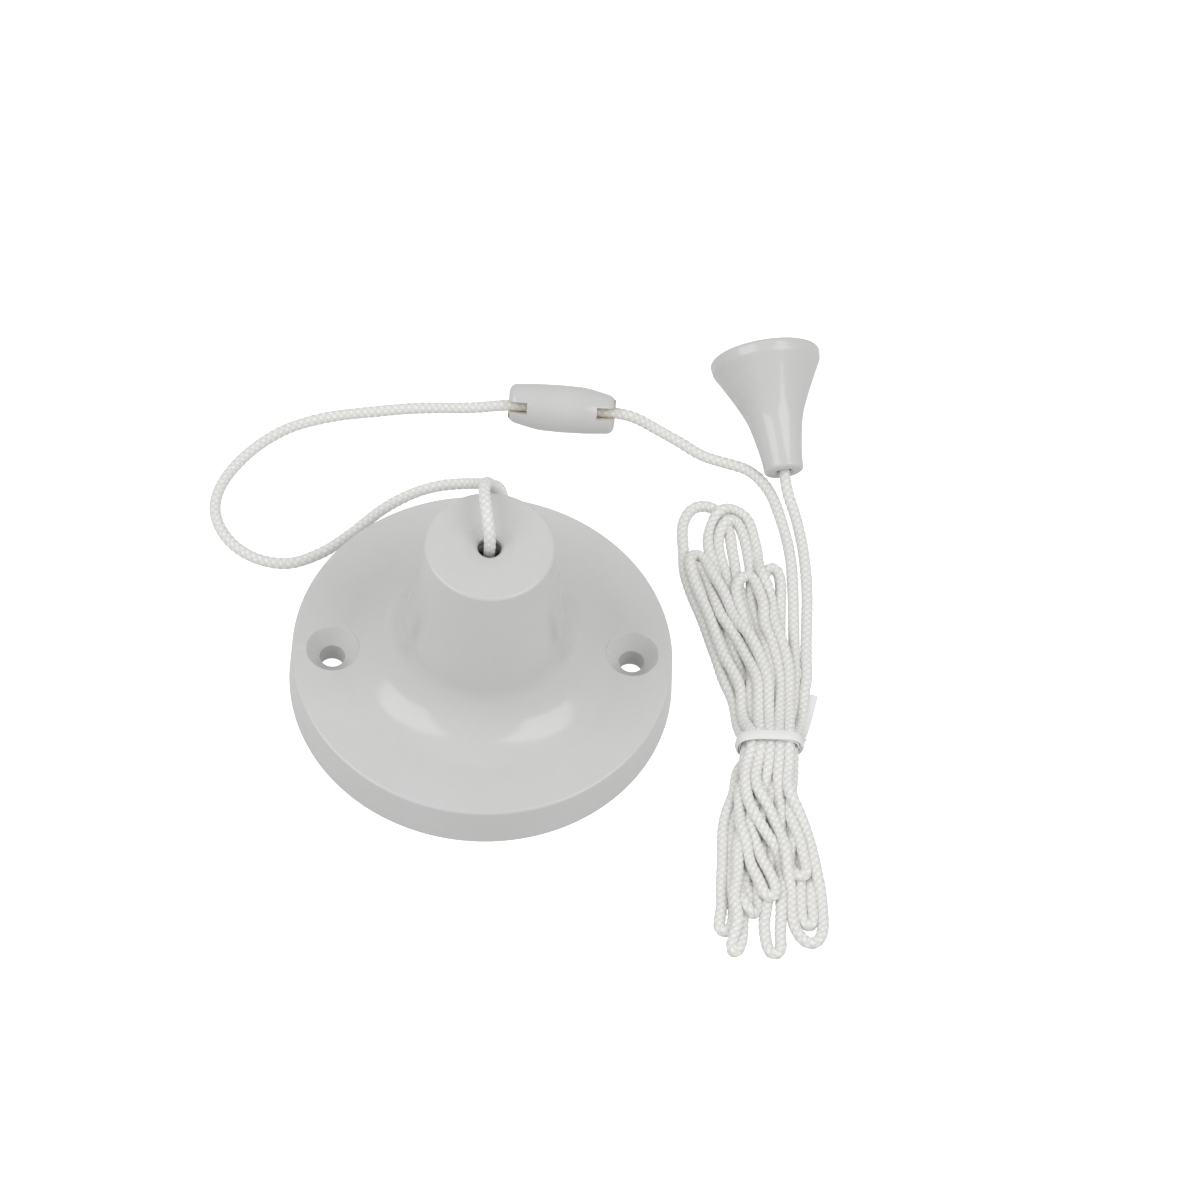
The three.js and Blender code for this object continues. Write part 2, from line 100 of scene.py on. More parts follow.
# an input whose value is a tuple is a colour, and any other is a number
def newGroup(name, inputs, outputs):
    group = bpy.data.node_groups.new(name, "ShaderNodeTree")
    for label, value in inputs.items():
        kind = "NodeSocketColor" if isinstance(value, tuple) else "NodeSocketFloat"
        socket = group.interface.new_socket(label, in_out="INPUT", socket_type=kind)
        socket.default_value = value
    for label in outputs:
        kind = "NodeSocketColor" if label == "Color" else "NodeSocketFloat"
        group.interface.new_socket(label, in_out="OUTPUT", socket_type=kind)
    return group, group.nodes.new("NodeGroupInput"), group.nodes.new("NodeGroupOutput")


def fillNode(tree, node, values=None, links=None):
    for key, value in (values or {}).items():
        node.inputs[key].default_value = value
    for key, source in (links or {}).items():
        tree.links.new(source, node.inputs[key])
    return node


def addNode(tree, kind, values=None, links=None, **settings):
    node = tree.nodes.new("ShaderNode" + kind)
    for key, value in settings.items():
        setattr(node, key, value)
    return fillNode(tree, node, values, links)


noiseMiddle = {"From Min": 0.3, "From Max": 0.7}   # nearly all of a noise lies between these


def addNoise(tree, detail, size):
    place = addNode(tree, "TexCoord")
    return addNode(tree, "TexNoise", {"Detail": detail},
                   {"Vector": place.outputs["Object"], "Scale": size})


# two tones that drift into each other over the surface, with a share of finer mottling
def makeToneGroup():
    tree, ins, outs = newGroup("toneDrift", {
        "Tone": (0.8, 0.8, 0.8, 1), "Drift Tone": (0.7, 0.7, 0.7, 1), "Size": 60, "Mottle Size": 900,
        "Mottle": 0.2}, ["Color"])
    wide = addNoise(tree, 3, ins.outputs["Size"])
    fine = addNoise(tree, 2, ins.outputs["Mottle Size"])
    both = addNode(tree, "Mix", None, {
        "Factor": ins.outputs["Mottle"], "A": wide.outputs["Fac"], "B": fine.outputs["Fac"]}, data_type="FLOAT")
    spread = addNode(tree, "MapRange", noiseMiddle, {"Value": both.outputs["Result"]})
    mixed = addNode(tree, "MixRGB", None, {
        "Fac": spread.outputs["Result"], "Color1": ins.outputs["Tone"], "Color2": ins.outputs["Drift Tone"]})
    tree.links.new(mixed.outputs["Color"], outs.inputs["Color"])
    return tree


# convex edges, where a mould edge or a handled corner is polished and a little lighter
def makeEdgeGroup():
    tree, ins, outs = newGroup("edgeWear", {"Low": 0.52, "High": 0.6, "Break Up": 300}, ["Mask"])
    geometry = addNode(tree, "NewGeometry")
    patch = addNoise(tree, 4, ins.outputs["Break Up"])
    ramp = addNode(tree, "MapRange", None, {
        "Value": geometry.outputs["Pointiness"], "From Min": ins.outputs["Low"],
        "From Max": ins.outputs["High"]})
    worn = addNode(tree, "Math", None, {0: ramp.outputs["Result"], 1: patch.outputs["Fac"]},
                   operation="MULTIPLY")
    tree.links.new(worn.outputs["Value"], outs.inputs["Mask"])
    return tree


# moulded skin: shallow orange peel and a finer grain on it
def makePeelGroup():
    tree, ins, outs = newGroup("mouldedSkin", {"Peel Size": 350, "Grain Size": 4000, "Grain": 0.25}, ["Height"])
    peel = addNoise(tree, 1, ins.outputs["Peel Size"])
    grain = addNoise(tree, 2, ins.outputs["Grain Size"])
    mixed = addNode(tree, "Mix", None, {
        "Factor": ins.outputs["Grain"], "A": peel.outputs["Fac"], "B": grain.outputs["Fac"]}, data_type="FLOAT")
    tree.links.new(mixed.outputs["Result"], outs.inputs["Height"])
    return tree


# a value that wanders between two limits, for roughness
def makeWanderGroup():
    tree, ins, outs = newGroup("roughnessWander", {"Low": 0.2, "High": 0.3, "Size": 200}, ["Value"])
    noise = addNoise(tree, 4, ins.outputs["Size"])
    ranged = addNode(tree, "MapRange", noiseMiddle, {
        "Value": noise.outputs["Fac"], "To Min": ins.outputs["Low"], "To Max": ins.outputs["High"]})
    tree.links.new(ranged.outputs["Result"], outs.inputs["Value"])
    return tree


toneGroup = makeToneGroup()
edgeGroup = makeEdgeGroup()
peelGroup = makePeelGroup()
wanderGroup = makeWanderGroup()


def useGroup(tree, group, values):
    return addNode(tree, "Group", values, node_tree=group)


def newMaterial(name):
    material = bpy.data.materials.new(name)
    material.use_nodes = True
    return material, material.node_tree, material.node_tree.nodes["Principled BSDF"]


def useTone(tree, tone, look):
    return useGroup(tree, toneGroup, {"Tone": (*tone, 1), "Drift Tone": (*look["drift"], 1),
                                      "Size": look["size"], "Mottle Size": look["mottleSize"],
                                      "Mottle": look["mottle"]})


# one recipe for everything moulded, stamped or turned: two tones, edge tone, roughness range and skin
plain = {
    "edgeShare": 0.5, "size": 90, "mottleSize": 1500, "mottle": 0.3, "rough": (0.3, 0.42), "peel": 1500,
    "grainSize": 8000, "grain": 0.7, "metal": 0, "shine": 0.5, "wearLow": 0.52, "wearHigh": 0.62,
    "bumpDepth": 0.0002,
}
finishes = {
    "white_plastic": {
        "tone": (0.60, 0.6, 0.598), "drift": (0.58, 0.578, 0.57), "edge": (0.66, 0.658, 0.65), "size": 45,
        "mottleSize": 700, "mottle": 0.25, "rough": (0.13, 0.18), "peel": 420, "grainSize": 5000,
        "grain": 0.12, "bump": 0.035,
    },
    # painted shade: a warm tone for the faces cut inside the connector's slots and throats, standing in for the
    # shade that falls there
    "slot_painted_shade": {
        "tone": (0.82, 0.765, 0.67), "drift": (0.78, 0.72, 0.61), "edge": (0.82, 0.8, 0.76), "peel": 900,
        "grainSize": 6000, "grain": 0.3, "bump": 0.05, "shine": 0.45,
    },
    "tie_film": {
        "tone": (0.8, 0.8, 0.795), "drift": (0.76, 0.76, 0.75), "edge": (0.85, 0.85, 0.845), "peel": 1200,
        "grainSize": 6000, "grain": 0.3, "bump": 0.06, "shine": 0.45,
    },
    "natural_plastic": {
        "tone": (0.60, 0.575, 0.51), "drift": (0.52, 0.49, 0.42), "edge": (0.68, 0.66, 0.6), "edgeShare": 0.6,
        "size": 60, "mottleSize": 900, "mottle": 0.35, "rough": (0.38, 0.52), "peel": 900, "grainSize": 6000,
        "grain": 0.5, "bump": 0.12, "shine": 0.45,
    },
    "black_plastic": {
        "tone": (0.028, 0.028, 0.03), "drift": (0.045, 0.045, 0.046), "edge": (0.12, 0.12, 0.12),
        "edgeShare": 0.7, "size": 120, "mottleSize": 1400, "mottle": 0.4, "rough": (0.35, 0.55), "peel": 1200,
        "grainSize": 7000, "grain": 0.6, "bump": 0.15,
    },
    "brass": {
        "tone": (0.72, 0.52, 0.22), "drift": (0.55, 0.36, 0.15), "edge": (0.86, 0.68, 0.36), "edgeShare": 0.8,
        "size": 150, "mottle": 0.5, "rough": (0.22, 0.42), "bump": 0.08, "metal": 1,
    },
    "zinc": {
        "tone": (0.62, 0.63, 0.65), "drift": (0.5, 0.52, 0.5), "edge": (0.8, 0.81, 0.82), "edgeShare": 0.8,
        "size": 200, "mottleSize": 1800, "mottle": 0.5, "rough": (0.25, 0.45), "bump": 0.1, "metal": 1,
    },
    "spring_steel": {
        "tone": (0.5, 0.51, 0.52), "drift": (0.4, 0.4, 0.41), "edge": (0.7, 0.71, 0.72), "edgeShare": 0.8,
        "size": 250, "mottleSize": 2000, "mottle": 0.4, "rough": (0.2, 0.35), "peel": 1800, "grainSize": 9000,
        "bump": 0.06, "metal": 1,
    },
    "silver": {
        "tone": (0.82, 0.82, 0.8), "drift": (0.66, 0.64, 0.58), "edge": (0.93, 0.93, 0.92), "edgeShare": 0.8,
        "size": 400, "mottleSize": 2500, "mottle": 0.5, "rough": (0.18, 0.35), "peel": 1800,
        "grainSize": 9000, "grain": 0.6, "bump": 0.05, "metal": 1,
    },
}


def makeFinish(name, own):
    look = {**plain, **own}
    material, tree, shader = newMaterial(name)
    tone = useTone(tree, look["tone"], look)
    edge = useGroup(tree, edgeGroup, {"Low": look["wearLow"], "High": look["wearHigh"],
                                      "Break Up": look["mottleSize"]})
    strength = addNode(tree, "Math", {1: look["edgeShare"]}, {0: edge.outputs["Mask"]},
                       operation="MULTIPLY", use_clamp=True)
    colour = addNode(tree, "MixRGB", {"Color2": (*look["edge"], 1)},
                     {"Fac": strength.outputs["Value"], "Color1": tone.outputs["Color"]})
    wander = useGroup(tree, wanderGroup, {"Low": look["rough"][0], "High": look["rough"][1],
                                          "Size": look["mottleSize"]})
    skin = useGroup(tree, peelGroup, {"Peel Size": look["peel"], "Grain Size": look["grainSize"],
                                      "Grain": look["grain"]})
    bump = addNode(tree, "Bump", {"Strength": look["bump"], "Distance": look["bumpDepth"]},
                   {"Height": skin.outputs["Height"]})
    fillNode(tree, shader, {"Metallic": look["metal"], "Specular IOR Level": look["shine"]}, {
        "Base Color": colour.outputs["Color"], "Roughness": wander.outputs["Value"],
        "Normal": bump.outputs["Normal"]})
    return material


materials = {name: makeFinish(name, look) for name, look in finishes.items()}

# braided polyester: bright crowns, valleys painted greyer as painted shade between the yarns, filaments that run
# along each yarn
braidLook = {
    "crown": (0.87, 0.87, 0.855), "paintedValleyShade": (0.68, 0.675, 0.65), "drift": (0.83, 0.828, 0.81),
    "size": 70, "mottleSize": 1500, "mottle": 0.4, "shadeDepths": (0.1, 0.75), "rough": (0.47, 0.65),
    "roughSize": 1800, "fibres": 14, "fibreStretch": 9, "fibreBump": 0.35, "fibreDepth": 0.00008, "sheen": 0.25,
    "sheenRoughness": 0.4,
}


def makeBraid(name, look):
    material, tree, shader = newMaterial(name)
    tone = useTone(tree, look["crown"], look)
    relief = addNode(tree, "Attribute", attribute_name="yarnCrown")
    # painted shade: the colour greys towards the valley tone where the yarn relief is low
    valleyShadeMask = addNode(tree, "MapRange", {"From Min": look["shadeDepths"][0], "From Max": look["shadeDepths"][1]},
                    {"Value": relief.outputs["Fac"]})
    colour = addNode(tree, "MixRGB", {"Color1": (*look["paintedValleyShade"], 1)},
                     {"Fac": valleyShadeMask.outputs["Result"], "Color2": tone.outputs["Color"]})
    lay = addNode(tree, "UVMap", uv_map="yarn")
    along = addNode(tree, "Mapping", {"Scale": (1, look["fibreStretch"], 1)},
                    {"Vector": lay.outputs["UV"]})
    fibre = addNode(tree, "TexNoise", {"Scale": look["fibres"], "Detail": 3},
                    {"Vector": along.outputs["Vector"]})
    rough = useGroup(tree, wanderGroup, {"Low": look["rough"][0], "High": look["rough"][1],
                                         "Size": look["roughSize"]})
    bump = addNode(tree, "Bump", {"Strength": look["fibreBump"], "Distance": look["fibreDepth"]},
                   {"Height": fibre.outputs["Fac"]})
    fillNode(tree, shader, {"Sheen Weight": look["sheen"], "Sheen Roughness": look["sheenRoughness"]}, {
        "Base Color": colour.outputs["Color"], "Roughness": rough.outputs["Value"],
        "Normal": bump.outputs["Normal"]})
    return material


materials["cord"] = makeBraid("cord", braidLook)
print("materials made:", ", ".join(materials))

# lines and meshes


# a smooth line through given points, evenly spaced
def smoothLine(points, step):
    points = np.asarray(points, float)
    ends = np.vstack([2 * points[0] - points[1], points, 2 * points[-1] - points[-2]])
    knots = np.concatenate([[0], np.cumsum(np.sqrt(np.linalg.norm(np.diff(ends, axis=0), axis=1)))])
    line = []
    for i in range(1, len(ends) - 2):
        t = np.linspace(knots[i], knots[i + 1], 24, endpoint=False)[:, None]
        p = [ends[i - 1 + k] for k in range(4)]
        u = [knots[i - 1 + k] for k in range(4)]
        a = [(u[k + 1] - t) / (u[k + 1] - u[k]) * p[k] + (t - u[k]) / (u[k + 1] - u[k]) * p[k + 1]
             for k in range(3)]
        b = [(u[k + 2] - t) / (u[k + 2] - u[k]) * a[k] + (t - u[k]) / (u[k + 2] - u[k]) * a[k + 1]
             for k in range(2)]
        line.append((u[2] - t) / (u[2] - u[1]) * b[0] + (t - u[1]) / (u[2] - u[1]) * b[1])
    return evenly(np.vstack(line + [points[-1:]]), step)


def lineLength(points):
    return float(np.linalg.norm(np.diff(points, axis=0), axis=1).sum())


def evenly(points, step):
    reach = np.concatenate([[0], np.cumsum(np.linalg.norm(np.diff(points, axis=0), axis=1))])
    count = max(2, round(reach[-1] / step) + 1)
    at = np.linspace(0, reach[-1], count)
    return np.column_stack([np.interp(at, reach, points[:, k]) for k in range(points.shape[1])])


def makePiece(name, vertices, faces, slot, body):
    mesh = bpy.data.meshes.new(name)
    mesh.from_pydata([tuple(v) for v in vertices], [], faces)
    mesh.validate()
    mesh.shade_smooth()
    mesh.materials.append(materials[slot])
    piece = addObject(name, mesh)
    if body:
        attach(piece, body)
    return piece


def tubeFaces(count, n):
    return [(r * n + s, r * n + (s + 1) % n, (r + 1) * n + (s + 1) % n, (r + 1) * n + s)
            for r in range(count - 1) for s in range(n)]


def tubeEnds(count, n):
    return [tuple(range(n - 1, -1, -1)), tuple((count - 1) * n + s for s in range(n))]


# tangent and two square directions at each point, carried along without twist
def carriedFrames(line):
    tangents = np.gradient(line, axis=0)
    tangents /= np.linalg.norm(tangents, axis=1)[:, None]
    side = np.cross(tangents[0], (0.3, 0.2, 0.93))
    sides = []
    for tangent in tangents:
        side = side - tangent * side.dot(tangent)
        side /= np.linalg.norm(side)
        sides.append(side)
    sides = np.array(sides)
    return tangents, sides, np.cross(tangents, sides)


# braided cord: eight yarns plaited round, four each way
braid = {
    "radius": 0.00133, "stitch": 0.0016, "yarnsEachWay": 4, "sides": 16, "ringStep": 0.00032,
    "relief": 0.12, "floor": 0.91, "narrow": 1.5, "blunt": 0.6, "wander": 0.02, "wanderLengths": (0.0047, 0.0131),
    "wanderShift": 1.3, "turnLength": 0.09, "endDome": 0.0002, "endCrown": 0.5,
}


def braidedTube(name, line, body, scale=1.0, ringStep=None):
    line = evenly(line, ringStep or braid["ringStep"])
    reach = np.concatenate([[0], np.cumsum(np.linalg.norm(np.diff(line, axis=0), axis=1))])
    tangents, sides, ups = carriedFrames(line)
    angle = 2 * np.pi * np.arange(braid["sides"]) / braid["sides"]
    around, along = np.meshgrid(angle, reach)
    plus = (braid["yarnsEachWay"] * around + 2 * np.pi * along / braid["stitch"]) / 2
    minus = (braid["yarnsEachWay"] * around - 2 * np.pi * along / braid["stitch"]) / 2
    first, second = np.cos(plus), np.cos(minus)
    overFirst = first * second > 0
    tall, flat = np.where(overFirst, first, second), np.where(overFirst, second, first)
    crown = np.abs(tall) ** braid["narrow"] * np.abs(flat) ** braid["blunt"]
    short, long = braid["wanderLengths"]
    uneven = 1 + braid["wander"] * np.sin(along / short) * np.sin(along / long + braid["wanderShift"])
    radius = braid["radius"] * scale * (braid["floor"] + braid["relief"] * crown) * uneven
    turned = around + 2 * np.pi * along / braid["turnLength"]
    rings = (line[:, None] + radius[..., None] * (np.cos(turned)[..., None] * sides[:, None]
                                                 + np.sin(turned)[..., None] * ups[:, None]))
    count, n = len(line), braid["sides"]
    domes = line[[0, -1]] + tangents[[0, -1]] * np.array([[-braid["endDome"]], [braid["endDome"]]])
    vertices = np.vstack([rings.reshape(-1, 3), domes])
    faces = tubeFaces(count, n)
    faces += [(count * n, (s + 1) % n, s) for s in range(n)]
    faces += [(count * n + 1, (count - 1) * n + s, (count - 1) * n + (s + 1) % n) for s in range(n)]
    piece = makePiece(name, vertices, faces, "cord", body)
    mesh = piece.data
    # the yarn relief, which the cord material also reads to paint shade into the valleys
    mark = mesh.attributes.new("yarnCrown", "FLOAT", "POINT")
    mark.data.foreach_set("value", np.concatenate([crown.ravel(), [braid["endCrown"]] * 2]).astype(np.float32))
    uv = mesh.uv_layers.new(name="yarn")
    corner = np.zeros(len(mesh.loops), np.int32)
    mesh.loops.foreach_get("vertex_index", corner)
    ring, at = np.minimum(corner // n, count - 1), corner % n
    wrap = (at == 0) & (np.arange(len(corner)) % 4 % 3 != 0)
    pairs = np.column_stack([(at + wrap * n) / n, reach[ring] / braid["stitch"]])
    uv.data.foreach_set("uv", pairs.astype(np.float32).ravel())
    return piece


# upper cord: from the plunger, over the edge of the boss and round to the connector
upperRoute = [
    (0, 0, 0.0308), (0, 0, 0.037), (0, 0, 0.044), (0, 0, 0.05), (0, -0.0001, 0.053), (-0.0002, 0.0008, 0.0557),
    (-0.0006, 0.003, 0.0576), (-0.001, 0.0061, 0.0582), (-0.0013, 0.0097, 0.0577), (-0.0012, 0.0132, 0.0562),
    (-0.0005, 0.0161, 0.0532), (0.001, 0.0179, 0.049), (0.0026, 0.0192, 0.044), (0.0039, 0.0206, 0.038),
    (0.0049, 0.0224, 0.0314), (0.0054, 0.0252, 0.025), (0.0055, 0.0294, 0.0194), (0.0053, 0.0344, 0.0154),
    (0.0048, 0.0394, 0.0134), (0.004, 0.0434, 0.0122), (0.0029, 0.0468, 0.009), (0.001, 0.05, 0.005),
    (-0.0026, 0.0521, 0.0021), (-0.0075, 0.0522, 0.00125), (-0.0142, 0.0502, 0.00125), (-0.022, 0.0453, 0.00125),
    (-0.0297, 0.0378, 0.00125), (-0.0364, 0.0324, 0.00125), (-0.0441, 0.0293, 0.00125), (-0.0519, 0.0309, 0.00125),
    (-0.0579, 0.036, 0.00125), (-0.0608, 0.0432, 0.00125), (-0.0598, 0.0502, 0.00125), (-0.0546, 0.0588, 0.00125),
    (-0.0459, 0.0665, 0.00125), (-0.0362, 0.0705, 0.00125), (-0.0253, 0.0725, 0.00125), (-0.0124, 0.074, 0.00125),
    (-0.002, 0.0734, 0.0026), (0.006, 0.0724, 0.0052), (0.0095, 0.0721, 0.0054), (0.0125, 0.0719, 0.0055),
]

# lower cord: lead, hank and tail, one cord from the connector to the bell pull
leadRoute = [
    (0.0249, 0.0711, 0.0055), (0.0282, 0.0709, 0.0054), (0.0314, 0.0708, 0.0052), (0.0356, 0.0704, 0.0042),
    (0.0404, 0.0692, 0.0019), (0.0454, 0.0663, 0.00125),
    (0.0516, 0.0619, 0.00125), (0.0574, 0.0598, 0.00125), (0.062, 0.058, 0.00125), (0.0663, 0.053, 0.00125),
    (0.0692, 0.044, 0.00125), (0.0709, 0.034, 0.00125), (0.0712, 0.026, 0.00125), (0.071, 0.015, 0.00125),
    (0.0708, 0.006, 0.00125), (0.0708, 0.0004, 0.00125),
]
bell = {"neck": (0.0701, 0.0554, 0.0044), "heading": 9.2, "tilt": 17, "length": 0.0289}


def bellDirection():
    heading, tilt = math.radians(bell["heading"]), math.radians(bell["tilt"])
    return Vector((-math.sin(heading) * math.cos(tilt), math.cos(heading) * math.cos(tilt), math.sin(tilt)))


bellAxis = bellDirection()
bellNeck = Vector(bell["neck"])
tailRoute = [
    tuple(bellNeck + bellAxis * 0.008), bell["neck"], tuple(bellNeck - bellAxis * 0.005), (0.0724, 0.0456, 0.0017),
    (0.0736, 0.039, 0.00125), (0.0743, 0.031, 0.00125), (0.0744, 0.023, 0.00125), (0.0739, 0.014, 0.00125),
    (0.0735, 0.006, 0.00125), (0.0734, 0.0004, 0.00125),
]

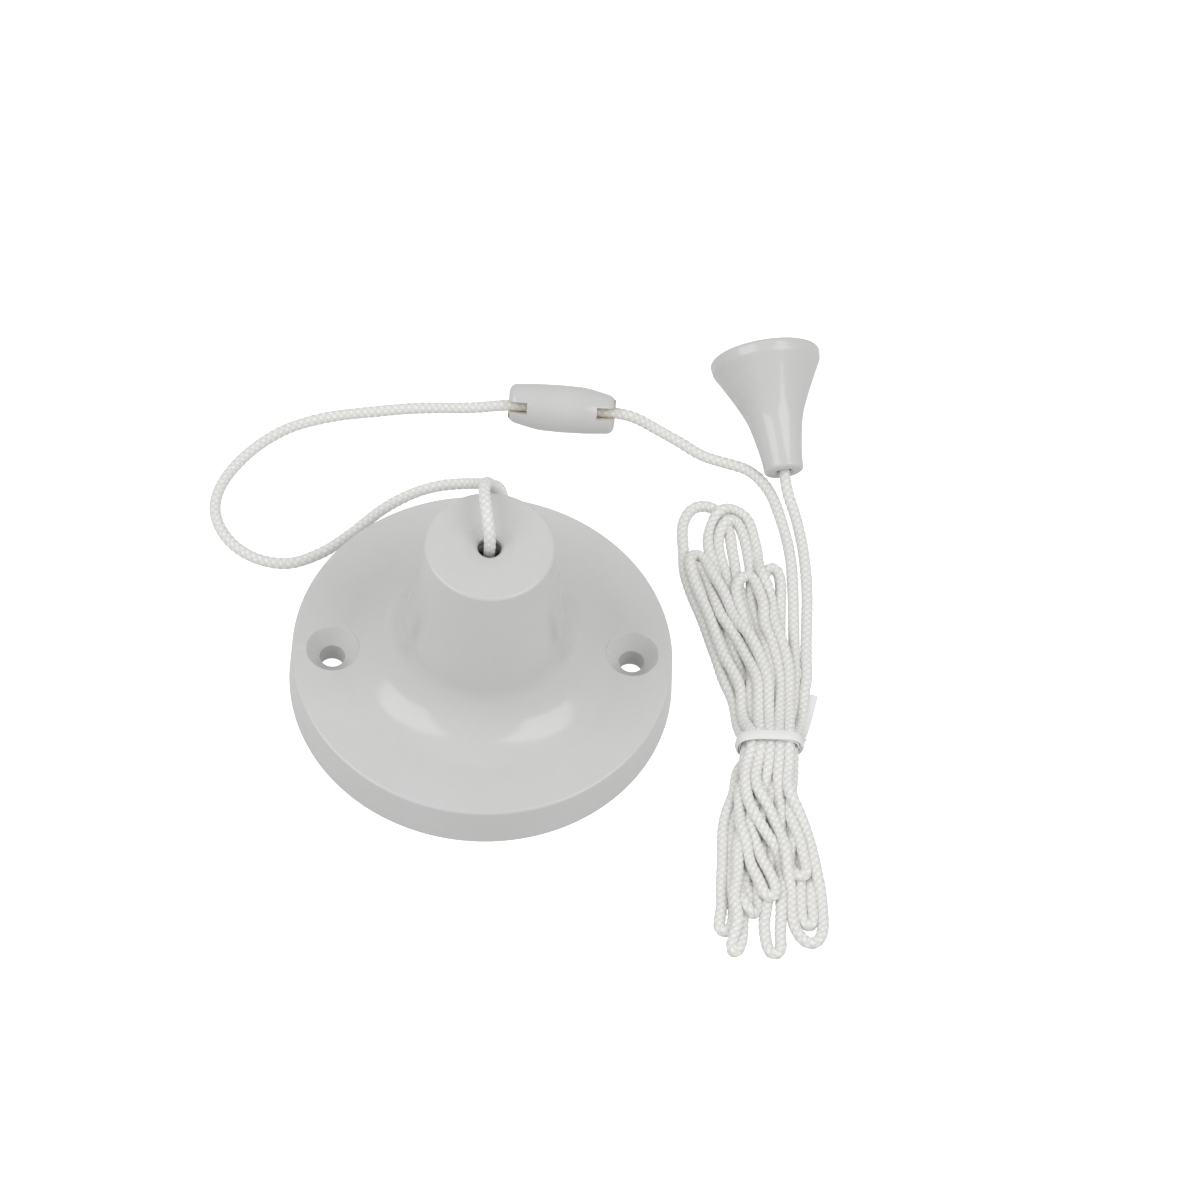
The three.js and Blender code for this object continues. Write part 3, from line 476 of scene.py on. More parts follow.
# the tie holds sixteen strands in three rows, bottom, middle and top, each with its count and height; a fold
# runs out of the tie in its first strand's place, through its points in millimetres, and back in its second's
hank = {
    "tieX": 0.064, "tieY": -0.019, "pitch": 0.00205,
    "rows": {"b": (5, 0.0023), "m": (6, 0.0043), "t": (5, 0.0063)},
    "straight": 0.003, "tipRadius": 0.0018, "tipAngles": (0, 45, 90, 135, 180), "pointed": 0.45, "easeNear": 0.6,
    "folds": [
        # inside the wide loop
        ("b4", "t3", [
         (67.2, -22.1, 2.0), (67.4, -27.2, 1.5), (68.3, -32.0, 1.3), (69.5, -37.4, 1.3), (70.7, -43.2, 1.3),
         (71.9, -49.3, 1.3), (72.6, -55.1, 1.3), (72.9, -60.0, 1.3), (72.0, -63.9, 1.3), (70.8, -61.4, 1.4),
         (69.9, -56.2, 1.6), (69.0, -50.0, 1.8), (68.0, -44.5, 2.0), (66.5, -39.0, 2.4), (65.4, -34.0, 3.0),
         (65.6, -30.2, 4.2), (65.7, -25.9, 5.4)
        ]),
        # arch in the middle
        ("t3", "m2", [
         (66.2, -2.2, 5.4), (66.0, 3.2, 5.0), (65.3, 8.5, 4.8), (64.7, 14.7, 4.6), (64.3, 20.1, 4.4),
         (63.3, 24.7, 4.4), (61.1, 27.3, 4.2), (59.0, 26.1, 3.8), (58.0, 22.6, 3.4), (58.4, 18.6, 3.1),
         (60.1, 13.0, 3.0), (61.5, 7.4, 3.0), (62.6, 1.6, 3.4)
        ]),
        # tip that stands on edge
        ("m2", "b1", [
         (62.7, -25.2, 3.5), (60.7, -31.9, 2.8), (58.8, -37.7, 2.8), (57.3, -43.6, 3.0), (56.6, -49.9, 3.2),
         (56.2, -56.9, 3.5), (55.7, -63.6, 3.7), (55.1, -69.1, 3.6), (54.8, -71.1, 2.6), (55.7, -68.2, 1.4),
         (56.8, -62.1, 1.3), (57.3, -55.3, 1.3), (57.8, -48.7, 1.3), (58.6, -42.6, 1.3), (59.8, -36.4, 1.3),
         (61.6, -29.4, 1.5)
        ]),
        # tall outer arch
        ("b1", "t4", [
         (59.4, 0.8, 1.8), (57.8, 6.2, 1.4), (56.5, 11.0, 1.3), (55.6, 15.8, 1.3), (55.1, 21.1, 1.4),
         (54.4, 27.2, 1.8), (53.0, 32.4, 2.6), (52.0, 36.8, 3.4), (52.6, 41.1, 3.6), (54.8, 45.2, 3.6),
         (58.1, 46.8, 3.4), (60.9, 45.5, 3.4), (62.2, 41.3, 3.6), (63.0, 36.7, 3.8), (63.5, 32.3, 3.8),
         (64.2, 27.5, 3.8), (65.0, 22.0, 3.8), (66.0, 16.6, 3.8), (67.0, 11.4, 3.8), (68.1, 5.9, 4.2),
         (68.6, 1.1, 5.0), (67.9, -4.1, 5.8)
        ]),
        # wide loop
        ("t4", "t1", [
         (67.5, -25.9, 5.5), (67.7, -31.4, 4.2), (68.9, -36.1, 3.2), (70.1, -41.2, 2.8), (71.4, -47.2, 2.6),
         (72.7, -53.5, 2.4), (73.7, -59.2, 2.2), (74.2, -63.5, 2.0), (73.4, -66.9, 1.8), (71.5, -68.6, 1.8),
         (69.6, -66.2, 2.2), (68.5, -61.7, 2.6), (67.8, -56.0, 3.2), (67.8, -50.1, 4.0), (67.5, -45.2, 4.6),
         (66.2, -41.0, 5.0), (64.4, -37.3, 5.4), (62.2, -34.1, 5.8), (60.8, -30.2, 6.2), (60.5, -25.0, 6.4)
        ]),
        # inner of the two front loops
        ("t1", "b0", [
         (62.5, -4.8, 6.0), (62.2, 0.3, 5.4), (61.3, 4.2, 5.0), (59.4, 7.4, 4.6), (56.7, 11.7, 4.2),
         (54.4, 17.0, 4.0), (52.3, 23.2, 3.8), (50.5, 28.1, 3.8), (49.7, 30.8, 3.4), (48.9, 29.4, 2.8),
         (49.4, 25.2, 2.4), (50.7, 20.6, 2.0), (52.2, 15.4, 1.8), (53.6, 10.8, 1.6), (55.9, 4.3, 1.6),
         (57.9, -1.0, 1.9)
        ]),
        # leftmost loop
        ("b0", "m0", [
         (58.4, -24.3, 2.0), (57.0, -29.5, 1.5), (55.6, -34.4, 1.3), (54.4, -40.2, 1.3), (53.8, -46.8, 1.3),
         (53.4, -53.7, 1.3), (52.6, -60.4, 1.3), (52.8, -64.4, 1.3), (54.0, -65.8, 1.3), (55.4, -63.4, 1.3),
         (55.4, -58.2, 1.4), (55.4, -51.1, 1.6), (55.6, -44.7, 2.0), (56.1, -39.2, 2.4), (57.1, -33.3, 3.0),
         (58.5, -27.5, 3.8)
        ]),
        # leftmost arch
        ("m0", "b2", [
         (56.9, -4.7, 3.6), (55.3, -0.3, 2.8), (53.9, 4.5, 2.0), (52.5, 9.9, 1.5), (51.0, 15.3, 1.3),
         (49.2, 21.6, 1.3), (47.9, 27.9, 1.3), (46.7, 34.1, 1.3), (46.2, 39.9, 1.3), (47.2, 44.4, 1.3),
         (49.1, 47.1, 1.3), (51.7, 47.8, 1.3), (54.2, 46.8, 1.3), (56.2, 43.5, 1.3), (57.1, 38.8, 1.3),
         (57.9, 33.5, 1.3), (58.5, 28.2, 1.3), (58.9, 23.3, 1.3), (59.7, 18.1, 1.3), (60.9, 12.4, 1.3),
         (62.4, 6.8, 1.4), (63.4, 1.4, 1.8)
        ]),
        # middle loop
        ("b2", "t0", [
         (64.2, -24.3, 2.2), (63.6, -30.2, 1.6), (62.8, -36.7, 1.3), (62.2, -43.3, 1.3), (61.6, -49.9, 1.3),
         (61.3, -56.6, 1.3), (61.3, -62.5, 1.4), (62.1, -67.3, 1.5), (63.4, -70.3, 1.5), (65.0, -70.6, 1.4),
         (65.6, -67.6, 1.3), (65.3, -63.3, 1.3), (65.6, -58.2, 1.8), (66.4, -53.3, 2.6), (66.1, -49.4, 3.4),
         (64.7, -45.7, 4.0), (62.9, -42.3, 4.4), (60.7, -38.9, 4.8), (59.0, -35.4, 5.4), (58.3, -31.4, 6.0),
         (58.7, -25.8, 6.4)
        ]),
        # front loop
        ("t0", "t2", [
         (58.9, -5.3, 6.0), (57.1, -0.1, 5.2), (55.3, 4.5, 4.6), (53.7, 9.5, 4.2), (52.1, 15.2, 4.0),
         (50.3, 21.1, 3.8), (48.6, 27.0, 3.8), (48.0, 31.7, 3.9), (49.5, 34.1, 4.0), (51.4, 32.1, 4.6),
         (53.4, 26.6, 5.0), (55.6, 21.4, 5.0), (57.5, 16.9, 5.0), (59.5, 12.6, 5.0), (61.5, 7.3, 5.2),
         (62.9, 2.3, 5.6), (64.0, -3.1, 6.0)
        ]),
        # tip lying on top
        ("t2", "m1", [
         (63.6, -24.4, 5.6), (62.5, -28.4, 4.6), (60.4, -32.9, 3.8), (59.1, -38.4, 3.9), (60.0, -43.9, 4.2),
         (61.3, -48.1, 4.4), (62.7, -52.2, 4.6), (64.1, -55.5, 4.6), (64.4, -57.2, 4.4), (63.3, -57.0, 4.0),
         (61.5, -54.2, 3.8), (59.3, -50.6, 3.6), (58.0, -46.8, 3.6), (57.2, -42.8, 3.6), (56.9, -37.8, 3.6),
         (57.5, -33.0, 3.8), (58.6, -27.8, 4.2)
        ]),
        # inner arch
        ("m1", "m3", [
         (61.3, -1.7, 3.8), (60.1, 3.8, 3.2), (58.7, 9.7, 2.8), (57.5, 15.1, 2.4), (56.4, 20.6, 2.2),
         (55.3, 26.0, 2.2), (54.3, 31.7, 2.4), (54.2, 36.9, 2.6), (55.3, 41.3, 2.4), (57.4, 43.8, 2.2),
         (59.4, 42.2, 2.2), (60.6, 38.7, 2.2), (61.4, 34.7, 2.2), (62.0, 29.6, 2.2), (62.4, 23.7, 2.2),
         (62.8, 17.4, 2.4), (63.4, 11.5, 2.8), (64.2, 5.1, 3.4), (65.1, -0.9, 4.0)
        ]),
        # short tip at the back
        ("m3", "b3", [
         (64.8, -26.2, 3.2), (63.6, -32.7, 2.2), (61.4, -40.2, 1.6), (59.4, -47.5, 1.3), (58.1, -52.7, 1.3),
         (57.5, -57.6, 1.3), (58.2, -62.1, 1.3), (59.2, -58.0, 1.3), (59.6, -52.7, 1.3), (60.7, -46.6, 1.3),
         (62.7, -40.8, 1.3), (64.3, -34.2, 1.3), (66.0, -26.9, 1.6)
        ]),
        # arch bulging to the right
        ("b3", "m4", [
         (66.3, 0.1, 1.8), (65.2, 6.0, 1.4), (64.4, 12.5, 1.3), (63.9, 18.6, 1.3), (63.9, 24.4, 1.3),
         (64.6, 29.4, 1.3), (66.1, 31.2, 1.3), (67.9, 29.3, 1.3), (68.4, 25.5, 1.3), (67.8, 20.6, 1.3),
         (67.2, 15.6, 1.4), (67.7, 9.5, 2.0), (68.1, 3.7, 3.0)
        ]),
        # tip hidden on the right
        ("m4", "m5", [
         (66.3, -27.3, 3.6), (66.2, -32.7, 3.0), (67.3, -39.1, 2.6), (68.5, -44.7, 2.4), (69.4, -49.6, 2.4),
         (70.2, -53.1, 2.4), (70.9, -49.9, 2.4), (70.3, -45.6, 2.6), (69.4, -40.8, 2.8), (68.4, -36.0, 3.0),
         (67.7, -31.3, 3.4), (67.3, -26.2, 4.0)
        ]),
    ],
    "wayIn": [(0.0702, -0.006, 0.00125), (0.0690, -0.0118, 0.0017), (0.0682, -0.0160, 0.0022)],
    "wayOut": [(0.0692, -0.0158, 0.0042), (0.0699, -0.0115, 0.0040), (0.0712, -0.0065, 0.0034),
               (0.0728, -0.0022, 0.0022)],
}


def strandPlace(name):
    count, height = hank["rows"][name[0]]
    return np.array((hank["tieX"] + (int(name[1]) - (count - 1) / 2) * hank["pitch"], hank["tieY"], height))


# opens a pointed tip into a bow of the cord's own least radius
def roundTip(points):
    ways = np.diff(points, axis=0)
    ways /= np.linalg.norm(ways, axis=1)[:, None]
    turns = (ways[1:] * ways[:-1]).sum(1)
    k = int(turns.argmin()) + 1
    if turns[k - 1] > hank["pointed"]:
        return points
    radius = hank["tipRadius"]
    middle = (points[k - 1] + points[k + 1]) / 2
    across = points[k - 1] - middle
    spread = max(0, radius - np.linalg.norm(across))
    across /= np.linalg.norm(across)
    axis = points[k] - middle
    axis -= across * axis.dot(across)
    axis /= np.linalg.norm(axis)
    centre = points[k] - axis * radius
    bow = [centre + radius * (across * math.cos(a) + axis * math.sin(a)) for a in np.radians(hank["tipAngles"])]
    before, after = points[:k - 1].copy(), points[k + 2:].copy()
    before[-1] += across * spread * hank["easeNear"]
    after[0] -= across * spread * hank["easeNear"]
    return np.vstack([before, bow, after])


# straight out of the tie, through the fold's points and straight back in
def foldPoints(first, second, points):
    start, end = strandPlace(first), strandPlace(second)
    points = roundTip(np.array(points, float) * mm)
    away = np.array((0, math.copysign(hank["straight"], points[0][1] - hank["tieY"]), 0))
    return [start, start + away, *points, end + away]


# lets the cord sag onto the surface and onto itself, with its length and lie kept
settling = {
    "step": 0.0018, "turns": 200, "diameter": 0.00235, "sink": 0.00004, "pull": 0.04, "bend": 0.035, "part": 0.7,
    "skip": 3, "floor": 0.0013, "soften": 10, "fair": 6, "fairWeights": (0.4, -0.42), "tieHalf": 0.0025,
    "lineStep": 0.001,
}


# takes out small waves and leaves the size of each bend as it is
def fair(line, free, rounds):
    for weight in settling["fairWeights"] * rounds:
        line[1:-1] += ((line[2:] + line[:-2]) / 2 - line[1:-1]) * weight * free[1:-1]
    return line


def settle(line, held):
    line = line.copy()
    free = np.where(held, 0.0, 1.0)[:, None]
    home = line.copy()
    index = np.arange(len(line))
    apart = np.abs(index[:, None] - index[None]) > settling["skip"]
    spacing = np.linalg.norm(np.diff(line, axis=0), axis=1)
    for _ in range(settling["turns"]):
        line[:, :2] += (home[:, :2] - line[:, :2]) * settling["pull"] * free
        line[:, 2:] -= settling["sink"] * free
        line[1:-1] += ((line[2:] + line[:-2]) / 2 - line[1:-1]) * settling["bend"] * free[1:-1]
        offset = line[:, None] - line[None]
        reach = np.sqrt((offset ** 2).sum(2))
        one, other = np.nonzero(apart & (reach < settling["diameter"]))
        gone = reach[one, other]
        push = offset[one, other] * ((settling["diameter"] - gone) / 2 / np.maximum(gone, 1e-6))[:, None]
        moved = np.zeros_like(line)
        np.add.at(moved, one, push)
        line += moved * free * settling["part"]
        for first in (0, 1):
            step = line[first + 1::2] - line[first:-1:2]
            size = np.linalg.norm(step, axis=1)
            fix = step * ((size - spacing[first::2]) / size / 2)[:, None]
            line[first:-1:2] += fix * free[first:-1:2]
            line[first + 1::2] -= fix * free[first + 1::2]
        line[:, 2] = np.maximum(line[:, 2], settling["floor"])
    return fair(line, free, settling["soften"])


def lowerLine():
    points = [np.array(p) for p in leadRoute + hank["wayIn"]]
    leadCount = len(leadRoute) - 1
    for fold in hank["folds"]:
        points += foldPoints(*fold)
    points += [strandPlace("m5")] + [np.array(p) for p in hank["wayOut"] + tailRoute[::-1]]
    line = smoothLine(points, settling["step"])
    reach = lineLength(smoothLine(points[:leadCount], settling["step"]))
    along = np.arange(len(line)) * settling["step"]
    tail = lineLength(smoothLine(tailRoute, settling["step"]))
    inTie = np.abs(line[:, 1] - hank["tieY"]) < settling["tieHalf"]
    held = (along < reach) | (along > along[-1] - tail) | inTie
    line = smoothLine(settle(line, held), settling["lineStep"])
    line = fair(line, np.ones((len(line), 1)), settling["fair"])
    line[:, 2] = np.maximum(line[:, 2], settling["floor"])
    return line


upperLine = smoothLine(upperRoute, settling["lineStep"])
upperLine[:, 2] = np.maximum(upperLine[:, 2], settling["floor"])
upperCord = braidedTube("upper_braid", upperLine, None)
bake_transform(upperCord)
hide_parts("upper_cord")
lowerPath = lowerLine()
lowerCord = braidedTube("lower_braid", lowerPath, "switch_body")
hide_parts("lower_cord_lead", "hank", "lower_cord_tail")
print("cords laid: upper %.3f m, lower %.3f m" % (lineLength(upperLine), lineLength(lowerPath)))

# turned pieces


# rounds each corner of an outline; a corner is (radius out, height, rounding)
def roundedOutline(corners, closed, degreesEach=6):
    outline = []
    count = len(corners)
    for i, (x, y, rounding) in enumerate(corners):
        if rounding <= 0 or (not closed and i in (0, count - 1)):
            outline.append((x, y))
            continue
        here = np.array((x, y), float)
        before = np.array(corners[i - 1][:2], float) - here
        after = np.array(corners[(i + 1) % count][:2], float) - here
        before /= np.linalg.norm(before)
        after /= np.linalg.norm(after)
        half = math.acos(max(-1, min(1, before.dot(after)))) / 2
        bisector = (before + after) / np.linalg.norm(before + after)
        middle = here + bisector * rounding / math.sin(half)
        first = here + before * rounding / math.tan(half) - middle
        sweep = math.pi - 2 * half
        turn = math.copysign(1, first[0] * bisector[1] - first[1] * bisector[0]) * -1
        steps = max(2, math.ceil(math.degrees(sweep) / degreesEach))
        for k in range(steps + 1):
            a = turn * sweep * k / steps
            outline.append((middle[0] + first[0] * math.cos(a) - first[1] * math.sin(a),
                            middle[1] + first[0] * math.sin(a) + first[1] * math.cos(a)))
    return outline


# spins a closed outline in millimetres about +Z; points on the axis become one vertex
def spin(outline, sides):
    vertices, rings = [], []
    for radius, height in outline:
        if radius < 1e-6:
            rings.append([len(vertices)] * sides)
            vertices.append((0, 0, height))
        else:
            rings.append(list(range(len(vertices), len(vertices) + sides)))
            vertices += [(radius * math.cos(2 * math.pi * s / sides),
                          radius * math.sin(2 * math.pi * s / sides), height) for s in range(sides)]
    faces = []
    for i, ring in enumerate(rings):
        following = rings[(i + 1) % len(rings)]
        for s in range(sides):
            t = (s + 1) % sides
            face = list(dict.fromkeys((ring[s], ring[t], following[t], following[s])))
            if len(face) > 2:
                faces.append(tuple(face))
    return np.array(vertices, float), faces


def applyModifiers(piece):
    graph = bpy.context.evaluated_depsgraph_get()
    mesh = bpy.data.meshes.new_from_object(piece.evaluated_get(graph))
    piece.modifiers.clear()
    piece.data = mesh


def carve(piece, tools, operation):
    for tool in tools:
        cut = piece.modifiers.new(operation.lower(), "BOOLEAN")
        cut.operation = operation
        cut.solver = "EXACT"
        cut.object = tool
        cut.material_mode = "TRANSFER" if tool.data.materials else "INDEX"
    applyModifiers(piece)
    for tool in tools:
        bpy.data.objects.remove(tool)


def bareTool(name, vertices, faces, matrix=Matrix.Identity(4)):
    mesh = bpy.data.meshes.new(name)
    mesh.from_pydata([tuple(matrix @ Vector(v)) for v in vertices], [], faces)
    return addObject(name, mesh)


def faceOutwards(piece):
    shape = bmesh.new()
    shape.from_mesh(piece.data)
    bmesh.ops.recalc_face_normals(shape, faces=shape.faces)
    shape.to_mesh(piece.data)
    shape.free()


# rounds the edges sharper than the angle whose middle the test accepts
def softenEdges(piece, width, angle, wanted):
    shape = bmesh.new()
    shape.from_mesh(piece.data)
    sharp = [edge for edge in shape.edges if len(edge.link_faces) == 2
             and edge.calc_face_angle() > math.radians(angle)
             and wanted((edge.verts[0].co + edge.verts[1].co) / 2)]
    bmesh.ops.bevel(shape, geom=sharp, offset=width, segments=3, profile=0.5, affect="EDGES",
                    clamp_overlap=True)
    shape.to_mesh(piece.data)
    shape.free()


# smooth faces with crisp edges past the angle, and flat faces that stay flat next to small rounds
def finishShading(piece, angle):
    piece.data.shade_smooth()
    piece.data.set_sharp_from_angle(angle=math.radians(angle))
    weighted = piece.modifiers.new("flatFaces", "WEIGHTED_NORMAL")
    weighted.keep_sharp = True
    weighted.weight = 80
    applyModifiers(piece)


# cover
cover = {
    "rimRadius": 43, "flangeRadius": 42.4, "flangeHeight": 11, "height": 52.5, "noseRadius": 14.1,
    "draft": 7.3, "cove": 13.6, "wall": 2.2, "skirtWall": 2, "edgeRound": 0.7, "noseRound": 0.8,
    "holeRadius": 2.6, "dimpleRadius": 5.6, "dimpleRound": 1.6, "screwX": 33.4, "screwRadius": 2.8,
    "sinkRadius": 5.85, "lip": 0.35, "bossFoot": 5.9, "bossTop": 6.6, "pillarY": 34.5, "pillarRadius": 3.2,
    "pilotRadius": 1.5, "pilotRoof": 2, "standOff": 2.7, "overlap": 0.4, "sides": 224,
}


def coverOutline(c):
    slope = math.tan(math.radians(c["draft"]))
    foot = c["noseRadius"] + (c["height"] - c["flangeHeight"]) * slope
    innerTop, under = c["height"] - c["wall"], c["flangeHeight"] - c["wall"]
    sideWall = c["wall"] / math.cos(math.radians(c["draft"]))
    innerNose = c["noseRadius"] + c["wall"] * slope - sideWall
    innerFoot = foot + c["wall"] * slope - sideWall
    innerSkirt = c["rimRadius"] - c["skirtWall"]
    return roundedOutline([
        (c["holeRadius"], innerTop, 0.2), (innerNose, innerTop, 0.6),
        (innerFoot, under, c["cove"] + c["wall"]),
        (innerSkirt - 0.6, under, 0.5), (innerSkirt, 0, 0.15), (c["rimRadius"], 0, 0.3),
        (c["flangeRadius"], c["flangeHeight"], c["edgeRound"]), (foot, c["flangeHeight"], c["cove"]),
        (c["noseRadius"], c["height"], c["noseRound"]), (c["dimpleRadius"], c["height"], c["dimpleRound"]),
        (c["holeRadius"] + 0.5, c["height"] - 0.5, 0.25), (c["holeRadius"], c["height"] - 0.9, 0.25),
    ], True, 3)


def postTool(name, x, y, outline, sides=64):
    vertices, faces = spin(outline, sides)
    return bareTool(name, vertices * mm, faces, Matrix.Translation((x * mm, y * mm, 0)))


def makeCover(c):
    vertices, faces = spin(coverOutline(c), c["sides"])
    piece = makePiece("cover_moulding", vertices * mm, faces, "white_plastic", "switch_body")
    top, standOff = c["flangeHeight"], c["standOff"]
    under = top - c["wall"] + c["overlap"]
    bossShape = [(0, standOff), (c["bossFoot"], standOff), (c["bossTop"], under), (0, under)]
    pillarShape = [(0, standOff), (c["pillarRadius"], standOff), (c["pillarRadius"], under), (0, under)]
    bosses = [postTool("boss", side * c["screwX"], 0, bossShape) for side in (-1, 1)]
    pillars = [postTool("pillar", 0, side * c["pillarY"], pillarShape) for side in (-1, 1)]
    carve(piece, bosses + pillars, "UNION")
    # the countersink's tool goes straight up past its lip, so that it leaves the cove alone
    clear = c["sinkRadius"] + c["lip"] / 2
    sink = roundedOutline([
        (0, -1, 0), (c["screwRadius"], -1, 0),
        (c["screwRadius"], top - (c["sinkRadius"] - c["screwRadius"]), 0.3),
        (c["sinkRadius"], top + 0.003, c["lip"]), (clear, top + 0.0031, 0), (clear, 20, 0), (0, 20, 0),
    ], True, 9)
    pilotTop = top - c["pilotRoof"]
    pilot = [(0, -1), (c["pilotRadius"], -1), (c["pilotRadius"], pilotTop), (0, pilotTop)]
    cuts = [postTool("sink", side * c["screwX"], 0, sink, 96) for side in (-1, 1)]
    cuts += [postTool("pilot", 0, side * c["pillarY"], pilot, 32) for side in (-1, 1)]
    carve(piece, cuts, "DIFFERENCE")
    finishShading(piece, 32)
    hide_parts("cover")
    return piece


makeCover(cover)
print("cover made")

# bell pull
bellShape = {
    "flare": [(4.6, 1.2), (4.75, 3.4), (5.4, 7.7), (6.55, 13.1), (8.5, 17.9), (11.2, 23.4)],
    "lipBelow": (12.62, 26.0), "lipInside": (10.6, 24.6), "mouthRadius": 12.95, "neckRadius": 4.6, "bore": 1.7,
    "boreLength": 5.2, "boreEnd": 7, "wall": 1.7, "sides": 128,
}


def makeBell(b):
    top = bell["length"] / mm
    outside = [tuple(p) for p in smoothLine(np.array(b["flare"]), 0.6)]
    lip = roundedOutline([(*b["flare"][-1], 0), (*b["lipBelow"], 2.4), (b["mouthRadius"], top, 1.1),
                          (b["mouthRadius"] - b["wall"], top, 0.5), (*b["lipInside"], 0)], False, 8)
    inside = smoothLine(np.array([(r - b["wall"], h + 0.5) for r, h in b["flare"][2:]][::-1]), 0.8)
    neck = roundedOutline([(b["bore"], b["boreLength"], 0), (b["bore"], 0.5, 0.2), (b["bore"] + 0.75, 0, 0.3),
                           (b["neckRadius"], 0, 0.9), (b["neckRadius"], 1.2, 0)], False, 10)
    outline = neck[:-1] + outside + lip[1:-1] + [tuple(p) for p in inside if p[0] > b["bore"] + 0.4]
    outline += [(b["bore"] + 0.3, b["boreEnd"] + 0.4), (b["bore"], b["boreEnd"])]
    vertices, faces = spin(outline, b["sides"])
    turn = Vector((0, 0, 1)).rotation_difference(bellAxis).to_matrix().to_4x4()
    place = Matrix.Translation(bellNeck) @ turn
    vertices = [place @ (Vector(v) * mm) for v in vertices]
    piece = makePiece("bell_moulding", vertices, faces, "white_plastic", "bell_pull")
    finishShading(piece, 50)
    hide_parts("bell_pull")
    return piece


bellPiece = makeBell(bellShape)
print("bell pull made")

# cord connector: two barrel halves with a slot at each end
connector = {
    "centre": (18.7, 71.5, 5.5), "heading": -3.5, "length": 24.8, "radius": 5.5, "taper": 0.8, "slotRoll": 44,
    "slotLength": 4.3, "slotWidth": 2.7, "slotFloor": -1.4, "slotRoof": 9, "throatRadius": 1.5,
    "throat": (3, 6), "bore": 3.3, "endWall": 4.6, "seam": 0.004, "straight": 0.15, "fullness": 1.7, "swell": 0.35,
    "endRound": 1.9, "edgeRound": 0.25, "sides": 96,
}


def connectorMatrix(c):
    heading = Matrix.Rotation(math.radians(c["heading"]), 4, "Z")
    roll = Matrix.Rotation(math.radians(c["slotRoll"]), 4, "X")
    return Matrix.Translation(Vector(c["centre"]) * mm) @ heading @ roll


# built with its own axis along +X and its slot towards +Z; "side" is -1 for the left half
def makeConnectorHalf(c, name, side, node):
    half = c["length"] / 2
    outline = roundedOutline([
        (c["bore"], c["seam"], 0), (c["radius"], c["seam"], 0), (c["radius"] - 0.1, half * 0.45, 30),
        (c["radius"] - c["taper"], half, c["endRound"]), (0, half, 0), (0, half - c["endWall"], 0),
        (c["bore"], half - c["endWall"], 0.5),
    ], True, 7)
    vertices, faces = spin(outline, c["sides"])
    shaped = []
    for x, y, h in vertices:
        reach = math.hypot(x, y)
        share = max(0, h / half - c["straight"]) / (1 - c["straight"])
        if reach > c["bore"] + 0.3:   # the outside narrows towards its end on one side, more than on the other
            lean = (1 - c["fullness"] / 2 * share ** 2 * (1 + y / reach) / c["radius"]
                    + c["swell"] * share ** 2 / c["radius"])
            x, y = x * lean, y * lean
        shaped.append((side * h, y * side, x))
    matrix = connectorMatrix(c)
    shaped = [matrix @ (Vector(v) * mm) for v in shaped]
    piece = makePiece(name, shaped, faces, "white_plastic", "switch_body")
    faceOutwards(piece)
    width, low, high = c["slotWidth"] / 2, half - c["slotLength"], half + 2
    box = [(side * x, y, z) for x in (low, high) for y in (-width, width)
           for z in (c["slotFloor"], c["slotRoof"])]
    boxFaces = [(0, 1, 3, 2), (4, 6, 7, 5), (0, 4, 5, 1), (2, 3, 7, 6), (0, 2, 6, 4), (1, 5, 7, 3)]
    slot = bareTool("slot", [tuple(Vector(v) * mm) for v in box], boxFaces, matrix)
    near, far = half - c["throat"][0], half - c["throat"][1]
    rod, rodFaces = spin([(0, far), (c["throatRadius"], far), (c["throatRadius"], near), (0, near)], 48)
    throat = bareTool("throat", [(side * z * mm, y * side * mm, x * mm) for x, y, z in rod], rodFaces, matrix)
    # the slot and throat tools carry the warm painted-shade material, which the cut hands on to the faces inside
    # the slots
    for tool in (slot, throat):
        faceOutwards(tool)
        tool.data.materials.append(materials["slot_painted_shade"])
    carve(piece, [slot, throat], "DIFFERENCE")
    inverse = matrix.inverted()
    softenEdges(piece, c["edgeRound"] * mm, 40, lambda at: side * (inverse @ at).x > mm)   # not at the seam
    finishShading(piece, 40)
    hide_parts(node)
    return piece


connectorHalves = [makeConnectorHalf(connector, "connector_half_left", -1, "connector_left"),
                   makeConnectorHalf(connector, "connector_half_right", 1, "connector_right")]
print("connector made")

# knots: an overhand knot with the cord's end standing out of it
knots = {
    "size": 0.00056, "height": 0.0007, "open": 0.25, "standing": 0.0024, "cordScale": 0.62, "step": 0.0004,
    "places": {
        "cord_knot": {"at": (0, 0, 27.9), "axis": (0, 0, 1)},
        "bell_knot": {"at": tuple((bellNeck + bellAxis * 0.0108) / mm), "axis": tuple(bellAxis)},
        "connector_knot_left": {"at": (-4, 0, 0), "axis": (-1, 0, 0)},
        "connector_knot_right": {"at": (4, 0, 0), "axis": (1, 0, 0)},
    },
}


def knotLine(node, place):
    at, axis = Vector(place["at"]), Vector(place["axis"])
    if node.startswith("connector"):
        matrix = connectorMatrix(connector)
        at = (matrix @ (at * mm)) / mm
        axis = matrix.to_3x3() @ axis
    turn = np.array(Vector((0, 0, 1)).rotation_difference(axis).to_matrix())
    t = np.linspace(knots["open"], 2 * np.pi - knots["open"], 60)
    loop = np.column_stack([np.sin(t) + 2 * np.sin(2 * t), np.cos(t) - 2 * np.cos(2 * t), -np.sin(3 * t)])
    loop *= (knots["size"], knots["size"], knots["height"])
    standing = np.array((0, 0, knots["standing"]))
    line = smoothLine(np.vstack([[standing * 1.6], [standing], loop[::6], [-standing]]), knots["step"])
    return line @ turn.T + np.array(at) * mm


for node, place in knots["places"].items():
    knot = braidedTube(node + "_braid", knotLine(node, place), bodyOfNode[node], knots["cordScale"])
    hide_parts(node)
print("knots tied")
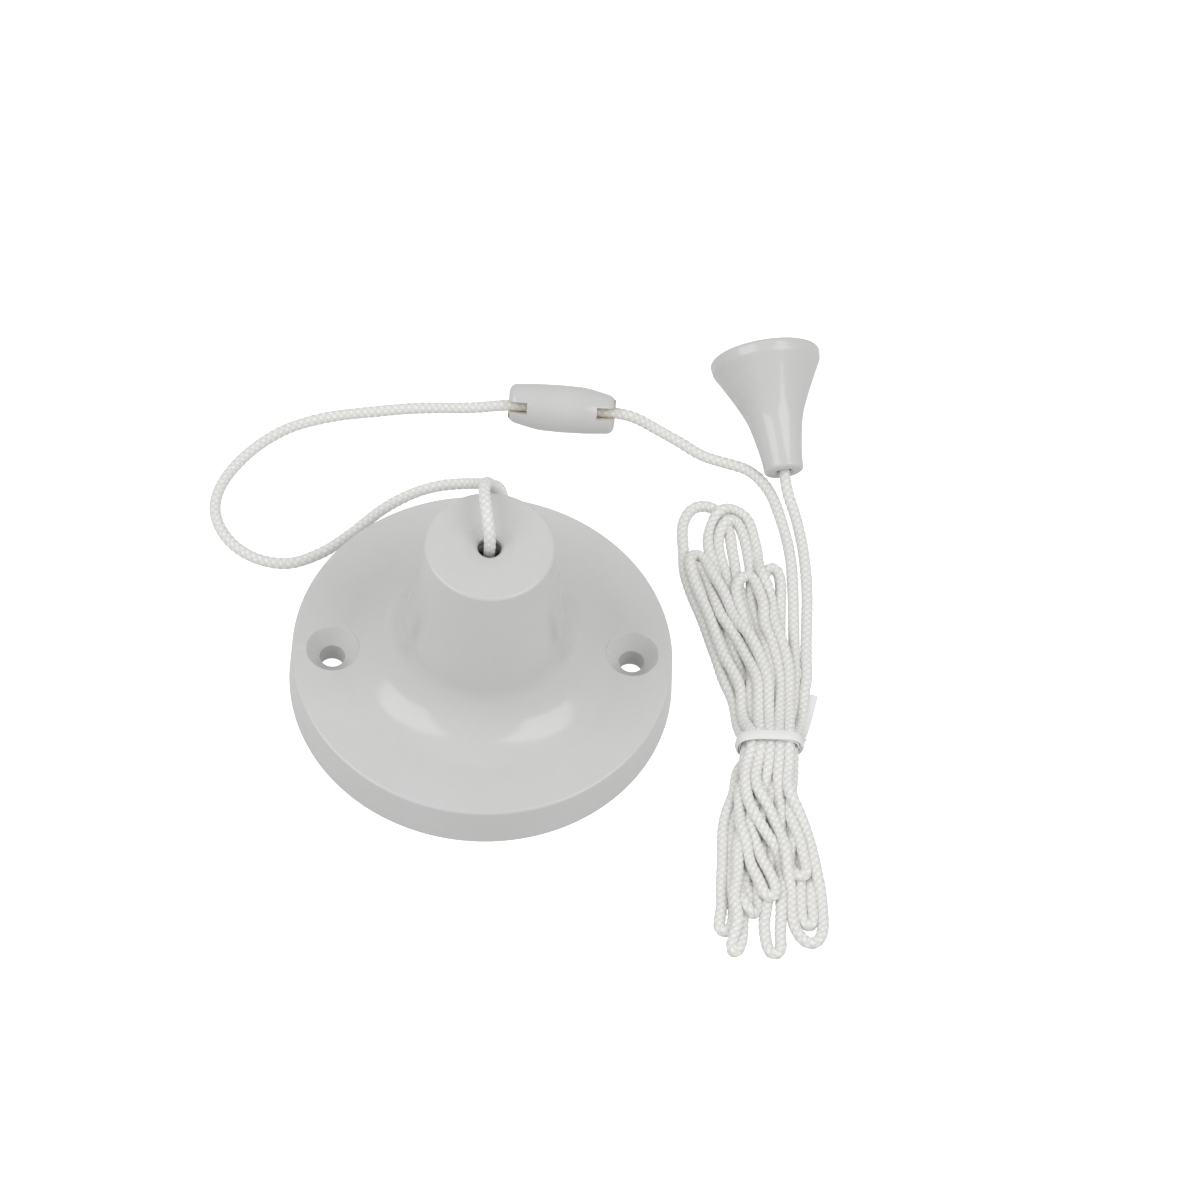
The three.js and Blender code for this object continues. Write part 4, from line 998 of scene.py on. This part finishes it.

# return spring: a wire coil with closed ends at its rest length; the real spring is pressed together as the cord is
# pulled, but this coil is not
returnSpring = {
    "radius": 4.1, "wire": 0.35, "turns": 6, "steps": 48, "bottom": 32.4, "length": 12.4, "kept": 0.43, "sides": 12,
    "rise": ((0, 0.14, 0.86, 1), (0, 0.06, 0.94, 1)),
}


def wireTube(name, line, radius, sides, body):
    _, across, ups = carriedFrames(line)
    angle = 2 * np.pi * np.arange(sides) / sides
    rings = line[:, None] + radius * (np.cos(angle)[None, :, None] * across[:, None]
                                      + np.sin(angle)[None, :, None] * ups[:, None])
    faces = tubeFaces(len(line), sides) + tubeEnds(len(line), sides)
    return makePiece(name, rings.reshape(-1, 3), faces, "spring_steel", body)


def makeReturnSpring(c):
    share = np.linspace(0, 1, c["turns"] * c["steps"] + 1)
    turn = 2 * np.pi * c["turns"] * share
    height = c["bottom"] + c["length"] * np.interp(share, *c["rise"])
    line = np.column_stack([c["radius"] * np.cos(turn), c["radius"] * np.sin(turn), height]) * mm
    piece = wireTube("return_spring_coil", line, c["wire"] * mm, c["sides"], "switch_body")
    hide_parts("return_spring")
    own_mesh(piece)


makeReturnSpring(returnSpring)
print("return spring wound")

# tie: a flat twist tie, twice round the hank, its twisted end standing off to the right
tie = {
    "width": 0.0024, "thickness": 0.0005, "halfWide": 0.0064, "low": 0.0016, "high": 0.0081, "turns": 2,
    "layer": 1.1, "cross": 0.0004, "spread": 0.28, "step": 0.0004, "wireRidge": 0.9, "wireHalf": 0.16,
    "tail": [(0.0710, -0.0178, 0.0036), (0.0717, -0.0150, 0.0024), (0.0727, -0.0112, 0.0015),
             (0.0737, -0.0074, 0.0012), (0.0746, -0.0038, 0.0012)],
}


def tieLine(t):
    middle, tall = (t["low"] + t["high"]) / 2, (t["high"] - t["low"]) / 2
    line, broad = [], []
    for a in np.linspace(0, 2 * np.pi * t["turns"], 40 * t["turns"]):
        c, s = math.cos(a), math.sin(a)
        squared = (abs(c) ** 3 + abs(s) ** 3) ** (-1 / 3)
        share = a / (2 * np.pi * t["turns"])
        grow = t["thickness"] * t["layer"] * share * t["turns"]
        line.append((hank["tieX"] + (t["halfWide"] + grow) * c * squared,
                     hank["tieY"] + t["cross"] * math.sin(a / 2) + t["width"] * t["spread"] * (share - 0.5),
                     middle + (tall + grow) * s * squared))
        broad.append((0, 1, 0))
    tail = np.array(t["tail"])
    for i, point in enumerate(tail):
        line.append(tuple(point))
        lean = min(1, (i + 1) / 3)
        broad.append((0.95 * lean, 1 - 1.25 * lean, 0.1))
    line, broad = np.array(line), np.array(broad, float)
    both = smoothLine(np.hstack([line, broad * 0.0001]), t["step"])
    return both[:, :3], both[:, 3:]


def makeTie(t):
    line, broad = tieLine(t)
    tangents = np.gradient(line, axis=0)
    tangents /= np.linalg.norm(tangents, axis=1)[:, None]
    broad -= tangents * (broad * tangents).sum(1)[:, None]
    broad /= np.linalg.norm(broad, axis=1)[:, None]
    thick = np.cross(tangents, broad)
    section = []
    for a in np.linspace(0, 2 * np.pi, 20, endpoint=False):
        c, s = math.cos(a), math.sin(a)
        ridge = 1 + t["wireRidge"] * math.exp(-(c / t["wireHalf"]) ** 2)   # the wire core down the middle
        section.append((math.copysign(abs(c) ** 0.5, c) * t["width"] / 2,
                        math.copysign(abs(s) ** 0.6, s) * t["thickness"] / 2 * ridge))
    n, count = len(section), len(line)
    vertices = [line[r] + broad[r] * u + thick[r] * v for r in range(count) for u, v in section]
    faces = tubeFaces(count, n) + tubeEnds(count, n)
    piece = makePiece("twist_tie", vertices, faces, "white_plastic", "switch_body")
    piece.data.materials[0] = materials["tie_film"]
    finishShading(piece, 50)
    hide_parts("hank_tie")
    return piece


tiePiece = makeTie(tie)
print("tie made")

# carried-over pieces: finish and broken edges
edgeBreak = {"white_plastic": 0.2, "natural_plastic": 0.15, "black_plastic": 0.12, "brass": 0.08, "zinc": 0.1,
             "spring_steel": 0.03, "silver": 0.06, "cord": 0.1}


def dressNode(node, piece):
    slot = slotOfNode[node]
    piece.data.materials.clear()
    piece.data.materials.append(materials[slot])
    piece.data.shade_smooth()
    weld = piece.modifiers.new("weld", "WELD")
    weld.merge_threshold = 1e-6
    edge = piece.modifiers.new("brokenEdges", "BEVEL")
    edge.width = edgeBreak[slot] * mm
    edge.segments = 2
    edge.limit_method = "ANGLE"
    edge.angle_limit = math.radians(35)
    edge.harden_normals = True


for node, piece in frame["nodes"].items():
    if not piece.hide_render:
        dressNode(node, piece)
print("frame nodes dressed")

# floor and light
studio = {
    "floorSize": 3.0, "floorColour": (0.35, 0.35, 0.35), "floorGlow": 0.36, "floorSeen": 1.1, "world": 0.66,
    "lamps": [
        {"name": "left_softbox", "towards": (-0.66, -0.17, 0.75), "size": (0.95, 0.85), "power": 5},
        {"name": "right_softbox", "towards": (0.56, -0.28, 0.77), "size": (0.9, 0.85), "power": 4.8},
    ],
    "distance": 1.3, "middle": (0.01, 0.01, 0.02),
}


def makeStudio(s):
    half = s["floorSize"] / 2
    corners = [(-half, -half, 0), (half, -half, 0), (half, half, 0), (-half, half, 0)]
    mesh = bpy.data.meshes.new("floor")
    mesh.from_pydata(corners, [], [(0, 1, 2, 3)])
    material, tree, shader = newMaterial("floor")
    # the floor looks white, but lights the part less than that
    ray = addNode(tree, "LightPath")
    glow = addNode(tree, "MapRange", {"To Min": s["floorGlow"], "To Max": s["floorSeen"]},
                   {"Value": ray.outputs["Is Camera Ray"]})
    fillNode(tree, shader, {"Base Color": (*s["floorColour"], 1), "Roughness": 0.9, "Specular IOR Level": 0.1,
                            "Emission Color": (1, 1, 1, 1)}, {"Emission Strength": glow.outputs["Result"]})
    mesh.materials.append(material)
    addObject("floor", mesh)
    for lamp in s["lamps"]:
        data = bpy.data.lights.new(lamp["name"], "AREA")
        data.shape = "RECTANGLE"
        data.size, data.size_y = lamp["size"]
        data.energy = lamp["power"]
        light = addObject(lamp["name"], data)
        direction = Vector(lamp["towards"]).normalized()
        light.location = direction * s["distance"] + Vector(s["middle"])
        light.rotation_euler = direction.to_track_quat("Z", "Y").to_euler()
    world = bpy.data.worlds.new("studio")
    world.use_nodes = True
    backdrop = world.node_tree.nodes["Background"]
    fillNode(world.node_tree, backdrop, {"Color": (1, 1, 1, 1), "Strength": s["world"]})
    bpy.context.scene.world = world
    bpy.context.scene.view_settings.view_transform = "Standard"


makeStudio(studio)
print("studio lit")
